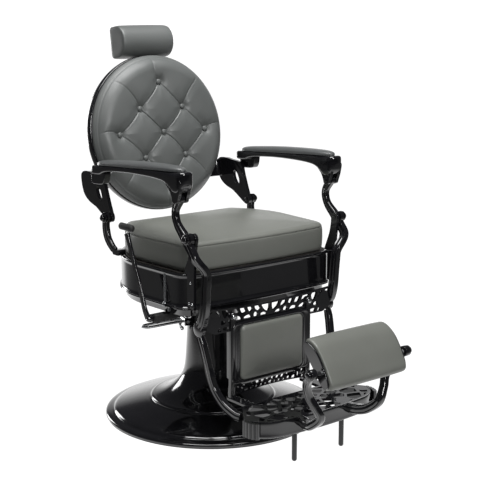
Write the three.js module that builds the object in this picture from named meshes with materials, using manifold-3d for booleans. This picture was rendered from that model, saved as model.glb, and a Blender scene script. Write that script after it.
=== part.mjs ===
// Hydraulic barber chair: pump base, swivelling seat, reclining round back, swinging leg frame.
// Units are millimetres. +Z is up, the sitter faces -Y, the sitter's left hand is at +X.
// The origin is on the pedestal axis, on the floor.
import * as THREE from 'three';
import { mergeVertices } from 'three/addons/utils/BufferGeometryUtils.js';
import Module from 'manifold-3d';

const wasm = await Module();
wasm.setup();

// ---- driving dimensions -------------------------------------------------------------------
const GAP = 0.3;
const BASE_RADIUS = 340;
const BASE_WALL = 5;
const RING_HEIGHT = 2;
const COLUMN_RADIUS = 78;
const COLUMN_TOP = 345;
const RAM_RADIUS = 28.6;
const CYLINDER_RADIUS = 44;
const FOOT_PLATE = { radius: 120, height: 10 };
const SLEEVE_RADIUS = 66;
const SLEEVE_WALL = 4;
const SLEEVE_BOTTOM = 188;
const SEAT_UNDERSIDE = 412;
const TURNTABLE = { radius: 100, thick: 12 };
const PAN_BOTTOM = 400;
const PAN_LIP = 421;
const PAN_BAND = 430;
const PAN_TOP = 526;
const BOARD_SEAT = 514;
const PAN_WALL = 9;
const PAN_BACK_RADIUS = 293;
const CUSHION_BACK_RADIUS = 280;
const CUSHION_TOP = 612;
const CUSHION_REAR = 172;
const ROUND_CENTRE_Y = -20;
const FRONT_PIVOT = { y: -270, z: 634 };
const REAR_PIVOT = { y: 158, z: 634 };
const CRANK = { y: 40, z: 108 };
const ARM_FRONT = { y: FRONT_PIVOT.y + CRANK.y, z: FRONT_PIVOT.z + CRANK.z };
const ARM_REAR = { y: REAR_PIVOT.y + CRANK.y, z: REAR_PIVOT.z + CRANK.z };
const ARM_X = 280;
const ARM_WIDTH = 56;
const PIN_RADIUS = 6;
const HOLE_RADIUS = 6.4;
const BACK_CENTRE = { y: 284, z: 864 };
const BACK_TILT = THREE.MathUtils.degToRad(8.6);
const BACK_RADIUS = 250;
const HEAD_HINGE = { y: 104, z: 296 };
const LEG_PLANE_Y = -280;
const PANEL_THICK = 8;
const SPINE_X = 245;
const SPINE_WIDTH = 26;
const SPINE_FOOT = { y: -263, z: 368, radius: 22 };
const PAD_PIVOT = { x: 176, y: -660, z: 320 };
const PLATFORM_TOP = 150;
const PLATFORM_BOTTOM = 102;
const PLATFORM_THICK = 9;
const STEP_ROD = { x: 90, y: -497, radius: 7.5, low: 8 };
const STEP_ROD_TOP = 98;
const ARM_SLOPE = 0.0585;
const LEVER_AXIS = { y: -136, z: 386 };
const PUMP_ANGLE = THREE.MathUtils.degToRad(165);
const PUMP_PIVOT = { x: 94, z: 308 };
const PUMP_REACH = 236;

// ---- materials ----------------------------------------------------------------------------
const paint = { color: 0x0b0b0c, roughness: 0.22, metalness: 0.4 };
const leather = { color: 0x6d6e69, roughness: 0.48, metalness: 0 };
const chrome = { color: 0xd5d8da, roughness: 0.12, metalness: 1 };
const steel = { color: 0x8b8f92, roughness: 0.35, metalness: 1 };
const rubber = { color: 0x151515, roughness: 0.75, metalness: 0 };
const board = { color: 0x9a7b4f, roughness: 0.8, metalness: 0 };

function piece(name, look, geometry, parent) {
  const mesh = new THREE.Mesh(geometry, new THREE.MeshStandardMaterial(look));
  mesh.name = name;
  parent.add(mesh);
  return mesh;
}

// ---- solids -------------------------------------------------------------------------------
function bare(geometry) {
  const copy = geometry.clone();
  copy.deleteAttribute('normal');
  copy.deleteAttribute('uv');
  copy.clearGroups();
  return mergeVertices(copy, 1e-3);
}

function solid(geometry) {
  const merged = bare(geometry);
  const mesh = new wasm.Mesh({
    numProp: 3,
    vertProperties: new Float32Array(merged.attributes.position.array),
    triVerts: new Uint32Array(merged.index.array),
  });
  return new wasm.Manifold(mesh);
}

function geometryOf(body) {
  const mesh = body.getMesh();
  const geometry = new THREE.BufferGeometry();
  geometry.setAttribute('position', new THREE.BufferAttribute(new Float32Array(mesh.vertProperties), 3));
  geometry.setIndex(new THREE.BufferAttribute(new Uint32Array(mesh.triVerts), 1));
  return geometry;
}

function join(...geometries) {
  return geometryOf(geometries.map(solid).reduce((whole, next) => whole.add(next)));
}

function cut(geometry, ...tools) {
  return geometryOf(tools.map(solid).reduce((whole, tool) => whole.subtract(tool), solid(geometry)));
}

function box(x0, x1, y0, y1, z0, z1) {
  return new THREE.BoxGeometry(x1 - x0, y1 - y0, z1 - z0)
    .translate((x0 + x1) / 2, (y0 + y1) / 2, (z0 + z1) / 2);
}

function rodX(radius, x0, x1, y, z, sides = 12) {
  return new THREE.CylinderGeometry(radius, radius, x1 - x0, sides)
    .rotateZ(Math.PI / 2)
    .translate((x0 + x1) / 2, y, z);
}

function rodZ(radius, z0, z1, sides = 32) {
  return new THREE.CylinderGeometry(radius, radius, z1 - z0, sides)
    .rotateX(Math.PI / 2)
    .translate(0, 0, (z0 + z1) / 2);
}

function spun(profile, sides = 40) {
  const points = profile.map(([r, z]) => new THREE.Vector2(r, z));
  return new THREE.LatheGeometry(points, sides).rotateX(Math.PI / 2);
}

// A sheet cut to an outline in X and Y, standing from z0 up.
function sheetXY(shape, z0, thick, bevel = null) {
  const edge = bevel ?? { bevelEnabled: false };
  return new THREE.ExtrudeGeometry(shape, { depth: thick, curveSegments: 4, ...edge }).translate(0, 0, z0);
}

// A sheet cut to an outline in Y and Z, from x0 towards +X.
function sheetYZ(shape, x0, thick, bevel = null) {
  const edge = bevel ?? { bevelEnabled: false };
  const turn = new THREE.Matrix4().set(0, 0, 1, x0, 1, 0, 0, 0, 0, 1, 0, 0, 0, 0, 0, 1);
  return new THREE.ExtrudeGeometry(shape, { depth: thick, curveSegments: 4, ...edge }).applyMatrix4(turn);
}

// A sheet cut to an outline in X and Z, from y0 towards -Y.
function sheetXZ(shape, y0, thick, bevel = null) {
  const edge = bevel ?? { bevelEnabled: false };
  const turn = new THREE.Matrix4().set(1, 0, 0, 0, 0, 0, -1, y0, 0, 1, 0, 0, 0, 0, 0, 1);
  return new THREE.ExtrudeGeometry(shape, { depth: thick, curveSegments: 4, ...edge }).applyMatrix4(turn);
}

function rounded(bevel, segments = 2) {
  return {
    bevelEnabled: true,
    bevelThickness: bevel,
    bevelSize: bevel,
    bevelOffset: -bevel,
    bevelSegments: segments,
  };
}

function outline(points) {
  return new THREE.Shape(points.map(([a, b]) => new THREE.Vector2(a, b)));
}

// An outline that runs smoothly through its points.
function smoothOutline(points, count) {
  const curve = new THREE.CatmullRomCurve3(points.map(([a, b]) => new THREE.Vector3(a, b, 0)), true);
  return new THREE.Shape(curve.getPoints(count).slice(0, count).map((p) => new THREE.Vector2(p.x, p.y)));
}

function roundedRectangle(x0, x1, y0, y1, r) {
  const shape = new THREE.Shape();
  shape.absarc(x1 - r, y0 + r, r, -Math.PI / 2, 0);
  shape.absarc(x1 - r, y1 - r, r, 0, Math.PI / 2);
  shape.absarc(x0 + r, y1 - r, r, Math.PI / 2, Math.PI);
  shape.absarc(x0 + r, y0 + r, r, Math.PI, 1.5 * Math.PI);
  return shape;
}

// A strap of constant width along a centre line in Y and Z, with round ends.
function strap(points, width, count = 14) {
  const curve = new THREE.CatmullRomCurve3(points.map(([a, b]) => new THREE.Vector3(a, b, 0)));
  const left = [];
  const right = [];
  for (let i = 0; i <= count; i += 1) {
    const p = curve.getPoint(i / count);
    const t = curve.getTangent(i / count);
    left.push(new THREE.Vector2(p.x - t.y * width / 2, p.y + t.x * width / 2));
    right.push(new THREE.Vector2(p.x + t.y * width / 2, p.y - t.x * width / 2));
  }
  return new THREE.Shape([...right, ...left.reverse()]);
}

// A bar of oval section along a smooth path in space.
function bar(points, halfWide, halfHigh, steps, sides = 8) {
  const path = new THREE.CatmullRomCurve3(points.map((p) => new THREE.Vector3(...p)));
  const section = new THREE.Shape();
  section.absellipse(0, 0, halfWide, halfHigh, 0, 2 * Math.PI);
  const ring = section.getPoints(sides).slice(0, sides);
  return new THREE.ExtrudeGeometry(new THREE.Shape(ring), { steps, extrudePath: path, bevelEnabled: false });
}

// Mirror a closed body from the sitter's right side to the left, keeping its faces outward.
function mirrored(geometry) {
  const flipped = bare(geometry).scale(-1, 1, 1);
  const index = flipped.index.array;
  for (let i = 0; i < index.length; i += 3) {
    [index[i], index[i + 1]] = [index[i + 1], index[i]];
  }
  return flipped;
}

// A pair of handed pieces: the given one lies at +X, the sitter's left.
function pair(name, look, geometry, parent) {
  piece(`${name}_left`, look, geometry, parent);
  piece(`${name}_right`, look, mirrored(geometry), parent);
}

// ---- base and pump ------------------------------------------------------------------------
function baseShell() {
  const foot = RING_HEIGHT + GAP;
  const outer = [
    [BASE_RADIUS - 3, foot], [BASE_RADIUS, 10], [316, 19], [308, 27], [190, 56], [150, 75],
    [118, 99], [98, 122], [88, 160], [COLUMN_RADIUS, COLUMN_TOP],
  ];
  const inner = [
    [COLUMN_RADIUS - BASE_WALL, COLUMN_TOP], [83, 158], [92, 120], [112, 95], [147, 69],
    [188, 50], [304, 20], [326, foot],
  ];
  return spun([...outer, ...inner, outer[0]], 28);
}

function tubeZ(inner, outer, z0, z1, sides = 24) {
  return spun([[inner, z0], [outer, z0], [outer, z1], [inner, z1], [inner, z0]], sides);
}

function base() {
  const group = new THREE.Group();
  piece('base_floor_ring', rubber, tubeZ(BASE_RADIUS - 18, BASE_RADIUS - 3, 0, RING_HEIGHT, 32), group);
  piece('base_shell', paint, baseShell(), group);
  piece('pump_foot_plate', steel, rodZ(FOOT_PLATE.radius, 0, FOOT_PLATE.height, 24), group);
  const cylinder = tubeZ(RAM_RADIUS + GAP, CYLINDER_RADIUS, FOOT_PLATE.height + GAP, COLUMN_TOP - 10);
  piece('pump_cylinder', steel, cylinder, group);
  const topRing = tubeZ(SLEEVE_RADIUS + 1.5, 81, COLUMN_TOP + GAP, COLUMN_TOP + 9, 24);
  piece('column_top_ring', paint, topRing, group);
  group.add(pumpLever());
  return group;
}

// The foot lever is a hairpin of round bar that turns on a pin through a bracket on the column.
function pumpLever() {
  const group = new THREE.Group();
  group.rotation.z = PUMP_ANGLE;
  const { x, z } = PUMP_PIVOT;
  const earY = 21;
  const plate = box(70, 84, -28, 28, z - 18, z + 18);
  const half = 3.5;
  const ears = [-earY - half, earY + half].map((y) => box(80, x + 9, y - half, y + half, z - 12, z + 12));
  const column = rodZ(COLUMN_RADIUS + 3.8, z - 40, z + 30, 64);
  const bore = rodX(PIN_RADIUS, -40, 40, 0, 0).rotateZ(Math.PI / 2).translate(x, 0, z);
  piece('pump_lever_bracket', paint, cut(join(plate, ...ears), column, bore), group);
  const pin = rodX(PIN_RADIUS - 0.5, -30, 30, 0, 0, 12).rotateZ(Math.PI / 2).translate(x, 0, z);
  piece('pump_lever_pin', steel, pin, group);
  const hub = rodX(9, -20, 20, 0, 0).rotateZ(Math.PI / 2).translate(x, 0, z);
  const loop = bar([
    [x + 4, 14, z], [x + 50, 16, z - 2], [PUMP_REACH - 22, 16, z - 7], [PUMP_REACH - 5, 0, z - 8],
    [PUMP_REACH - 22, -16, z - 7], [x + 50, -16, z - 2], [x + 4, -14, z],
  ], 4.5, 4.5, 18, 6);
  const tail = bar([[x + 2, -14, z - 4], [x + 8, -15, z - 16], [x + 4, -15, z - 30]], 4.5, 4.5, 3, 6);
  piece('pump_lever', chrome, cut(join(hub, loop, tail), bore), group);
  return group;
}

function lift() {
  const group = new THREE.Group();
  piece('lift_ram', chrome, rodZ(RAM_RADIUS, 60, SEAT_UNDERSIDE - GAP, 24), group);
  const sleeve = tubeZ(SLEEVE_RADIUS - SLEEVE_WALL, SLEEVE_RADIUS, SLEEVE_BOTTOM, SEAT_UNDERSIDE - GAP);
  piece('ram_sleeve', paint, sleeve, group);
  return group;
}

// ---- seat ---------------------------------------------------------------------------------
// Plan of the seat: round at the back, nearly straight sides, round front corners, bowed front edge.
function seatPlan(backRadius, frontHalf, frontY, corner, rearLimit = Infinity) {
  const shape = new THREE.Shape();
  const bow = 12;
  const cornerY = frontY + bow + corner;
  shape.moveTo(-frontHalf, cornerY);
  shape.absarc(-frontHalf + corner, cornerY, corner, Math.PI, 1.42 * Math.PI);
  shape.quadraticCurveTo(0, frontY - bow, frontHalf - corner * 0.75, cornerY - corner * 0.968);
  shape.absarc(frontHalf - corner, cornerY, corner, 1.58 * Math.PI, 2 * Math.PI);
  const reach = Math.min(rearLimit - ROUND_CENTRE_Y, backRadius);
  const end = Math.asin(reach / backRadius);
  const steps = 6;
  for (let i = 0; i <= steps; i += 1) {
    const a = (end * i) / steps;
    shape.lineTo(backRadius * Math.cos(a), ROUND_CENTRE_Y + backRadius * Math.sin(a));
  }
  for (let i = reach === backRadius ? steps - 1 : steps; i >= 0; i -= 1) {
    const a = (end * i) / steps;
    shape.lineTo(-backRadius * Math.cos(a), ROUND_CENTRE_Y + backRadius * Math.sin(a));
  }
  return shape;
}

function panPlan(grow) {
  return seatPlan(PAN_BACK_RADIUS + grow, 284 + grow, -258 - grow, 46 + grow);
}

function panRing(outerGrow, innerGrow, z0, z1) {
  const shape = panPlan(outerGrow);
  shape.holes.push(new THREE.Path(panPlan(innerGrow).getPoints(4).reverse()));
  return sheetXY(shape, z0, z1 - z0);
}

// The pan is a deep band with a bead on top, a lip below and a narrower skirt under the lip.
function seatPan() {
  const skirt = -22;
  return join(
    panRing(-13, skirt, PAN_BOTTOM, PAN_LIP + 1),
    panRing(5, skirt, PAN_LIP, PAN_BAND),
    panRing(0, -PAN_WALL, PAN_BAND - 1, PAN_TOP - 1),
    panRing(3, -PAN_WALL, PAN_TOP - 8, PAN_TOP),
  );
}

function seatFrontLug() {
  const { y, z } = FRONT_PIVOT;
  const path = [[y, z], [y + 7, z - 30], [y + 12, z - 80], [y + 10, 470], [y + 8, 436]];
  const plate = sheetYZ(strap(path, 20), 261.5, 10);
  const boss = rodX(14, 261.5, 271.5, y, z, 16);
  const foot = box(258, 271.5, y, -225, 434, 512);
  return cut(join(plate, boss, foot), sheetXY(panPlan(3 + GAP), 400, 130), rodX(HOLE_RADIUS, 250, 290, y, z));
}

function seatRearPost() {
  const { y, z } = REAR_PIVOT;
  const path = [[y, z], [y + 3, z - 30], [y - 6, z - 62], [y - 30, z - 86], [y - 52, z - 98]];
  const plate = sheetYZ(strap(path, 26), 277, 12);
  const boss = rodX(16, 277, 289, y, z, 16);
  const rim = PAN_TOP + GAP;
  const foot = box(263.5, 289, 84, 118, rim, rim + 15);
  return cut(join(plate, boss, foot), box(240, 310, 40, 190, 480, rim), rodX(HOLE_RADIUS, 260, 300, y, z));
}

function pivotBolt(y, z, inner, outer) {
  const shank = rodX(PIN_RADIUS, inner, outer + 1, y, z);
  const head = rodX(15, outer, outer + 6, y, z, 16);
  const cap = rodX(10, outer + 5, outer + 15, y, z, 16);
  return join(shank, head, cap);
}

// A cross of two upturned channels on the turntable, with a flange at each end of the wide one
// that the seat board rests on.
function underFrame() {
  const wide = { half: 255, width: 90 };
  const long = { front: -225, rear: 240, width: 70 };
  const sheet = 5;
  const foot = SEAT_UNDERSIDE + TURNTABLE.thick + GAP;
  const ribTop = foot + 56;
  const across = wide.width / 2;
  const along = long.width / 2;
  const plates = [
    box(-wide.half, wide.half, -across, across, foot, foot + sheet),
    box(-along, along, long.front, long.rear, foot, foot + sheet),
  ];
  const ribs = [-across, across - sheet].map((y) => box(-wide.half, wide.half, y, y + sheet, foot, ribTop));
  const rails = [-along, along - sheet].map((x) => box(x, x + sheet, long.front, long.rear, foot, ribTop));
  const end = (x) => box(x, x + sheet, -across, across, foot, BOARD_SEAT);
  const ends = [-wide.half, wide.half - sheet].map(end);
  const flange = (x) => box(x, x + 40, -across, across, BOARD_SEAT - sheet, BOARD_SEAT);
  const flanges = [-wide.half, wide.half - 40].map(flange);
  return join(...plates, ...ribs, ...rails, ...ends, ...flanges);
}

function seat() {
  const group = new THREE.Group();
  const turntableTop = SEAT_UNDERSIDE + TURNTABLE.thick;
  piece('seat_turntable', steel, rodZ(TURNTABLE.radius, SEAT_UNDERSIDE, turntableTop, 24), group);
  piece('seat_under_frame', paint, underFrame(), group);
  piece('seat_pan', paint, seatPan(), group);
  const boardBottom = BOARD_SEAT + GAP;
  const boardPlan = panPlan(-PAN_WALL - GAP - 0.7);
  piece('seat_board', board, sheetXY(boardPlan, boardBottom, PAN_TOP + 0.7 - boardBottom), group);
  const cushionPlan = seatPlan(CUSHION_BACK_RADIUS, 268, -251, 43, CUSHION_REAR);
  const soft = 14;
  const cushionFoot = PAN_TOP + 1;
  const cushionDepth = CUSHION_TOP - cushionFoot - 2 * soft;
  const cushion = sheetXY(cushionPlan, cushionFoot + soft, cushionDepth, rounded(soft));
  piece('seat_cushion', leather, cushion, group);
  pair('seat_front_lug', paint, seatFrontLug(), group);
  pair('seat_rear_post', paint, seatRearPost(), group);
  pair('front_pivot_bolt', paint, pivotBolt(FRONT_PIVOT.y, FRONT_PIVOT.z, 260, 291 + GAP), group);
  pair('rear_pivot_bolt', paint, pivotBolt(REAR_PIVOT.y, REAR_PIVOT.z, 260, 289 + GAP), group);
  const lock = join(rodX(17, -65, 65, 0, 0), rodX(7, 60, 110, 0, 0)).rotateZ(Math.PI / 2);
  piece('recline_lock_cylinder', steel, lock.translate(130, 112, 450), group);
  group.add(reclineLever());
  return group;
}

// A flat lever hangs beside the seat, turns in under it, and ends in a round rod in a bearing.
function reclineLever() {
  const group = new THREE.Group();
  group.position.set(0, LEVER_AXIS.y, LEVER_AXIS.z);
  const barLine = [[104, 234], [95, 214], [71, 156], [34, 68], [18, 24], [2, 0]];
  const flat = sheetYZ(strap(barLine, 18, 12), -337, 9);
  const knuckle = box(-337, -320, -12, 16, -12, 12);
  piece('recline_lever_bar', paint, join(flat, knuckle), group);
  const grip = rodX(11, -31, 31, 0, 0, 16).rotateZ(Math.PI / 2).translate(-332.5, 106, 252);
  piece('recline_lever_grip', rubber, grip, group);
  const clamp = box(-319.7, -228, -13, 13, -11, 11);
  const screws = [-300, -254].map((x) => rodZ(5, -19, -10, 10).translate(x, 0, 0));
  piece('lever_clamp_block', rubber, cut(join(clamp, ...screws), rodX(6, -262, -220, 0, 0, 12)), group);
  piece('lever_rod', chrome, rodX(5.5, -260, -140, 0, 0, 12), group);
  const hanger = box(-170, -146, -12, 12, -4, BOARD_SEAT - LEVER_AXIS.z);
  const bearing = join(hanger, rodX(12, -170, -146, 0, 0, 16));
  piece('lever_bearing', paint, cut(bearing, rodX(6, -180, -136, 0, 0, 12)), group);
  return group;
}

// ---- back and headrest --------------------------------------------------------------------
// Local Z runs up the back and local Y points out of its rear face.
function inBack({ y, z }) {
  const dy = y - BACK_CENTRE.y;
  const dz = z - BACK_CENTRE.z;
  return {
    y: dy * Math.cos(BACK_TILT) - dz * Math.sin(BACK_TILT),
    z: dy * Math.sin(BACK_TILT) + dz * Math.cos(BACK_TILT),
  };
}

function disc(profile) {
  return new THREE.LatheGeometry(profile.map(([r, y]) => new THREE.Vector2(r, y)), 28);
}

function backCushion() {
  return disc([[0, -38], [190, -34], [230, -25], [243, -12], [246, 0], [244, 8], [0, 8]]);
}

function backShell() {
  const outer = [[0, 46], [238, 42], [BACK_RADIUS, 28], [BACK_RADIUS, 12], [244, 8.4]];
  const inner = [[241, 12], [243, 25], [233, 36], [0, 40]];
  return disc([...outer, ...inner].reverse());
}

// The bracket joins the seat pivot, the armrest pin and the rear of the shell.
function backBracket() {
  const seatPivot = inBack(REAR_PIVOT);
  const armPin = inBack(ARM_REAR);
  const edge = [
    [-104, -250], [-90, -263], [-72, -254], [-50, -236], [-20, -214], [12, -199], [40, -178], [51, -152],
    [51, -112], [34, -99], [6, -101], [-24, -109], [-58, -119], [-80, -131], [-84, -160], [-94, -205],
  ];
  const plateShape = smoothOutline(edge, 28);
  const slot = new THREE.Path();
  slot.absellipse(-46, -172, 13, 26, 0, 2 * Math.PI, true, -0.35);
  plateShape.holes.push(slot);
  const plate = sheetYZ(plateShape, 262, 12);
  const bosses = [
    rodX(16, 262, 274, seatPivot.y, seatPivot.z, 16),
    rodX(13, 262, 274, armPin.y, armPin.z, 16),
  ];
  const pin = rodX(PIN_RADIUS, 270, 291, armPin.y, armPin.z);
  const foot = box(176, 268, 46.4, 57, -164, -106);
  return cut(join(plate, ...bosses, pin, foot), rodX(HOLE_RADIUS, 250, 280, seatPivot.y, seatPivot.z));
}

// The post slides in the socket; the cushion and its plate tilt on the pin at the post's head.
function headrest() {
  const group = new THREE.Group();
  const { y, z } = HEAD_HINGE;
  const line = [[54, 60], [54, 130], [54, 194], [62, 217], [85, 230], [101, 246], [y, 268], [y, z]];
  const bore = rodX(4.4, -40, 40, y, z, 12);
  const stem = join(sheetYZ(strap(line, 8, 14), -18, 36), rodX(9, -18, 18, y, z, 16));
  piece('headrest_post', paint, cut(stem, bore), group);
  piece('headrest_hinge_pin', steel, rodX(4, -30, 30, y, z, 12), group);
  const back = 84 + GAP;
  const plate = box(-62, 62, back, back + 4, 258, 336);
  const ear = (x) => join(box(x, x + 10, back + 2, y, z - 9, z + 9), rodX(9, x, x + 10, y, z, 16));
  const ears = [-29, 19].map(ear);
  piece('headrest_plate', paint, cut(join(plate, ...ears), bore), group);
  const side = new THREE.Shape();
  side.absarc(48, 296, 48, Math.PI / 2, 1.5 * Math.PI);
  side.lineTo(76, 248);
  side.absarc(76, 256, 8, -Math.PI / 2, 0);
  side.absarc(76, 336, 8, 0, Math.PI / 2);
  const half = 89;
  const roll = new THREE.ExtrudeGeometry(side, { depth: 2 * half, curveSegments: 7, ...rounded(7, 1) });
  const turn = new THREE.Matrix4().set(0, 0, 1, -half, 1, 0, 0, 0, 0, 1, 0, 0, 0, 0, 0, 1);
  piece('headrest_cushion', leather, roll.applyMatrix4(turn), group);
  return group;
}

function back() {
  const group = new THREE.Group();
  group.position.set(0, BACK_CENTRE.y, BACK_CENTRE.z);
  group.rotation.x = -BACK_TILT;
  piece('back_cushion', leather, backCushion(), group);
  piece('back_shell', paint, backShell(), group);
  pair('back_bracket', paint, backBracket(), group);
  const socket = cut(box(-30, 30, 46.4, 66, 80, 180), box(-19, 19, 48.4, 59.6, 70, 190));
  piece('headrest_socket', paint, socket, group);
  group.add(headrest());
  return group;
}

// ---- leg frame ----------------------------------------------------------------------------
// The frame hangs from the front pivots and carries the leg panel, the platform and the flip pad.
function frontPost() {
  const line = [
    [ARM_FRONT.y, ARM_FRONT.z], [-207, 706], [-215, 670], [-249, 637], [-272, 612], [-293, 585],
    [-299, 550], [-293, 480], [-288, 430], [-279, 396], [-263, 372],
  ];
  const thick = 16;
  const upperX = 275;
  const lowerX = SPINE_X - thick / 2;
  const blade = sheetYZ(strap(line, SPINE_WIDTH, 34), upperX, thick);
  const place = blade.attributes.position;
  for (let i = 0; i < place.count; i += 1) {
    const t = THREE.MathUtils.smoothstep(place.getZ(i), 530, 590);
    place.setX(i, place.getX(i) + (lowerX - upperX) * (1 - t));
  }
  const { y, z } = FRONT_PIVOT;
  const bosses = [
    rodX(16, upperX, upperX + thick, y, z, 16),
    rodX(13, upperX, upperX + thick, ARM_FRONT.y, ARM_FRONT.z, 16),
    rodX(SPINE_FOOT.radius, lowerX, lowerX + thick, SPINE_FOOT.y, SPINE_FOOT.z, 16),
  ];
  const pin = rodX(PIN_RADIUS, 259, upperX + 2, ARM_FRONT.y, ARM_FRONT.z);
  return cut(join(blade, ...bosses, pin), rodX(HOLE_RADIUS, 255, 300, y, z));
}

function openings(shape, spots, halfWide, halfHigh) {
  spots.forEach(([a, b, turn]) => {
    const hole = new THREE.Path();
    hole.absellipse(a, b, halfWide, halfHigh, 0, 2 * Math.PI, true, turn);
    shape.holes.push(new THREE.Path(hole.getPoints(6).slice(0, 6)));
  });
}

function upperLegPanel() {
  const half = SPINE_X - 8 - GAP;
  const shape = outline([
    [-half, 424], [-half, 366], [-206, 350], [-151.5, 350], [-151.5, 372.5], [151.5, 372.5], [151.5, 350],
    [206, 350], [half, 366], [half, 424], [120, 417], [0, 415], [-120, 417],
  ]);
  const spots = [-4, -3, -2, -1, 0, 1, 2, 3, 4].map((i) => [i * 46, 395, i % 2 ? 0.5 : -0.5]);
  openings(shape, spots, 17, 9);
  return sheetXZ(shape, LEG_PLANE_Y + PANEL_THICK / 2, PANEL_THICK);
}

function lowerLegPanel() {
  const shape = new THREE.Shape();
  shape.moveTo(-136.6, 187.6);
  shape.lineTo(-136.6, 154);
  shape.quadraticCurveTo(0, 168, 136.6, 154);
  shape.lineTo(136.6, 187.6);
  const spots = [-3, -2, -1, 0, 1, 2, 3].map((i) => [i * 36, 174, i % 2 ? 0.4 : -0.4]);
  openings(shape, spots, 12, 6);
  return sheetXZ(shape, LEG_PLANE_Y + PANEL_THICK / 2, PANEL_THICK);
}

function legPadFrame() {
  const face = roundedRectangle(-151, 151, 188, 372, 20);
  face.holes.push(new THREE.Path(roundedRectangle(-119, 119, 197, 362, 16).getPoints(4).reverse()));
  const ring = sheetXZ(face, -272, 18);
  const plate = sheetXZ(roundedRectangle(-128, 128, 190, 370, 18), -267, 6);
  const stiles = [-151, 137].map((x) => box(x, x + 14, -288, -274, PLATFORM_TOP + GAP, 214));
  return join(ring, plate, ...stiles);
}

// Plan of the platform: straight rear edge, sides that spread to blunt points and a bowed front edge.
function platformPlan(grow) {
  const rear = { x: 170 + grow, y: -362 + grow };
  const tip = { x: 234 + grow, y: -452 };
  const front = { x: 160 + grow, y: -519 - grow };
  const shape = new THREE.Shape();
  shape.moveTo(-rear.x, rear.y);
  shape.quadraticCurveTo(-rear.x - 30, -400, -tip.x, tip.y);
  shape.quadraticCurveTo(-tip.x + 19, front.y + 10, -front.x, front.y);
  shape.quadraticCurveTo(0, front.y - 22, front.x, front.y);
  shape.quadraticCurveTo(tip.x - 19, front.y + 10, tip.x, tip.y);
  shape.quadraticCurveTo(rear.x + 30, -400, rear.x, rear.y);
  return shape;
}

// The deck stands on a deep rim; two tabs at the rear carry the stiles of the pad frame.
function footPlatform() {
  const plan = platformPlan(0);
  const spots = [];
  for (let row = 0; row < 2; row += 1) {
    for (let column = -3; column <= 3; column += 1) {
      spots.push([column * 50, -402 - row * 58, 0.7]);
    }
  }
  openings(plan, spots, 19, 13);
  const deck = sheetXY(plan, PLATFORM_TOP - PLATFORM_THICK, PLATFORM_THICK);
  const rim = platformPlan(0);
  rim.holes.push(new THREE.Path(platformPlan(-7).getPoints(4).reverse()));
  const wall = sheetXY(rim, PLATFORM_BOTTOM, PLATFORM_TOP - PLATFORM_BOTTOM - 2);
  const tab = (x) => box(x, x + 30, -372, -268, PLATFORM_TOP - PLATFORM_THICK, PLATFORM_TOP);
  const tabs = [-156, 126].map(tab);
  const blocks = [-STEP_ROD.x, STEP_ROD.x].map((x) => (
    box(x - 13, x + 13, -516, -478, STEP_ROD_TOP, PLATFORM_TOP - 2)
  ));
  return join(deck, wall, ...tabs, ...blocks);
}

function platformBlock() {
  return sheetXY(platformPlan(GAP), PLATFORM_BOTTOM - 20, PLATFORM_TOP - PLATFORM_BOTTOM + 20 + GAP);
}

function footArm() {
  const { x, y, z } = PAD_PIVOT;
  const limb = bar([
    [86, -500, 132], [91, -532, 136], [101, -564, 138], [109, -590, 148], [112, -625, 178], [131, -623, 214],
    [145, -616, 245], [163, -628, 284], [x, y, z],
  ], 11, 12, 14);
  const boss = join(rodX(15, x - 12, x + 10, y, z, 16), rodX(10, x + 8, x + 18, y, z, 16));
  const padSide = box(150, 163.8, -700, -620, 290, 350);
  return cut(join(limb, boss), platformBlock(), rodX(HOLE_RADIUS, x - 20, x + 8, y, z), padSide);
}

function stepRod() {
  const { x, y, radius, low } = STEP_ROD;
  const shank = rodZ(radius, low + radius - 1, STEP_ROD_TOP - GAP, 12);
  const tip = new THREE.SphereGeometry(radius, 10, 6).translate(0, 0, low + radius);
  return join(shank, tip).translate(x, y, 0);
}

// The rail leaves the foot of the post and runs down and forward to the side of the platform.
function legRail() {
  const top = SPINE_FOOT.z - SPINE_FOOT.radius - GAP;
  const limb = bar([
    [244, SPINE_FOOT.y - 2, top], [241, -276, 318], [236, -289, 268], [231, -298, 226], [226, -314, 190],
    [221, -346, 160], [213, -384, 143], [198, -410, 132],
  ], 8, 11, 12);
  return cut(limb, platformBlock());
}

function legs() {
  const group = new THREE.Group();
  pair('front_post', paint, frontPost(), group);
  piece('upper_leg_panel', paint, upperLegPanel(), group);
  piece('lower_leg_panel', paint, lowerLegPanel(), group);
  piece('leg_pad_frame', paint, legPadFrame(), group);
  const pad = sheetXZ(roundedRectangle(-118.5, 118.5, 197.5, 361.5, 15), -279, 15, rounded(5, 1));
  piece('leg_pad', leather, pad, group);
  pair('leg_rail', paint, legRail(), group);
  piece('foot_platform', paint, footPlatform(), group);
  pair('foot_arm', paint, footArm(), group);
  pair('step_rod', paint, stepRod(), group);
  return group;
}

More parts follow.
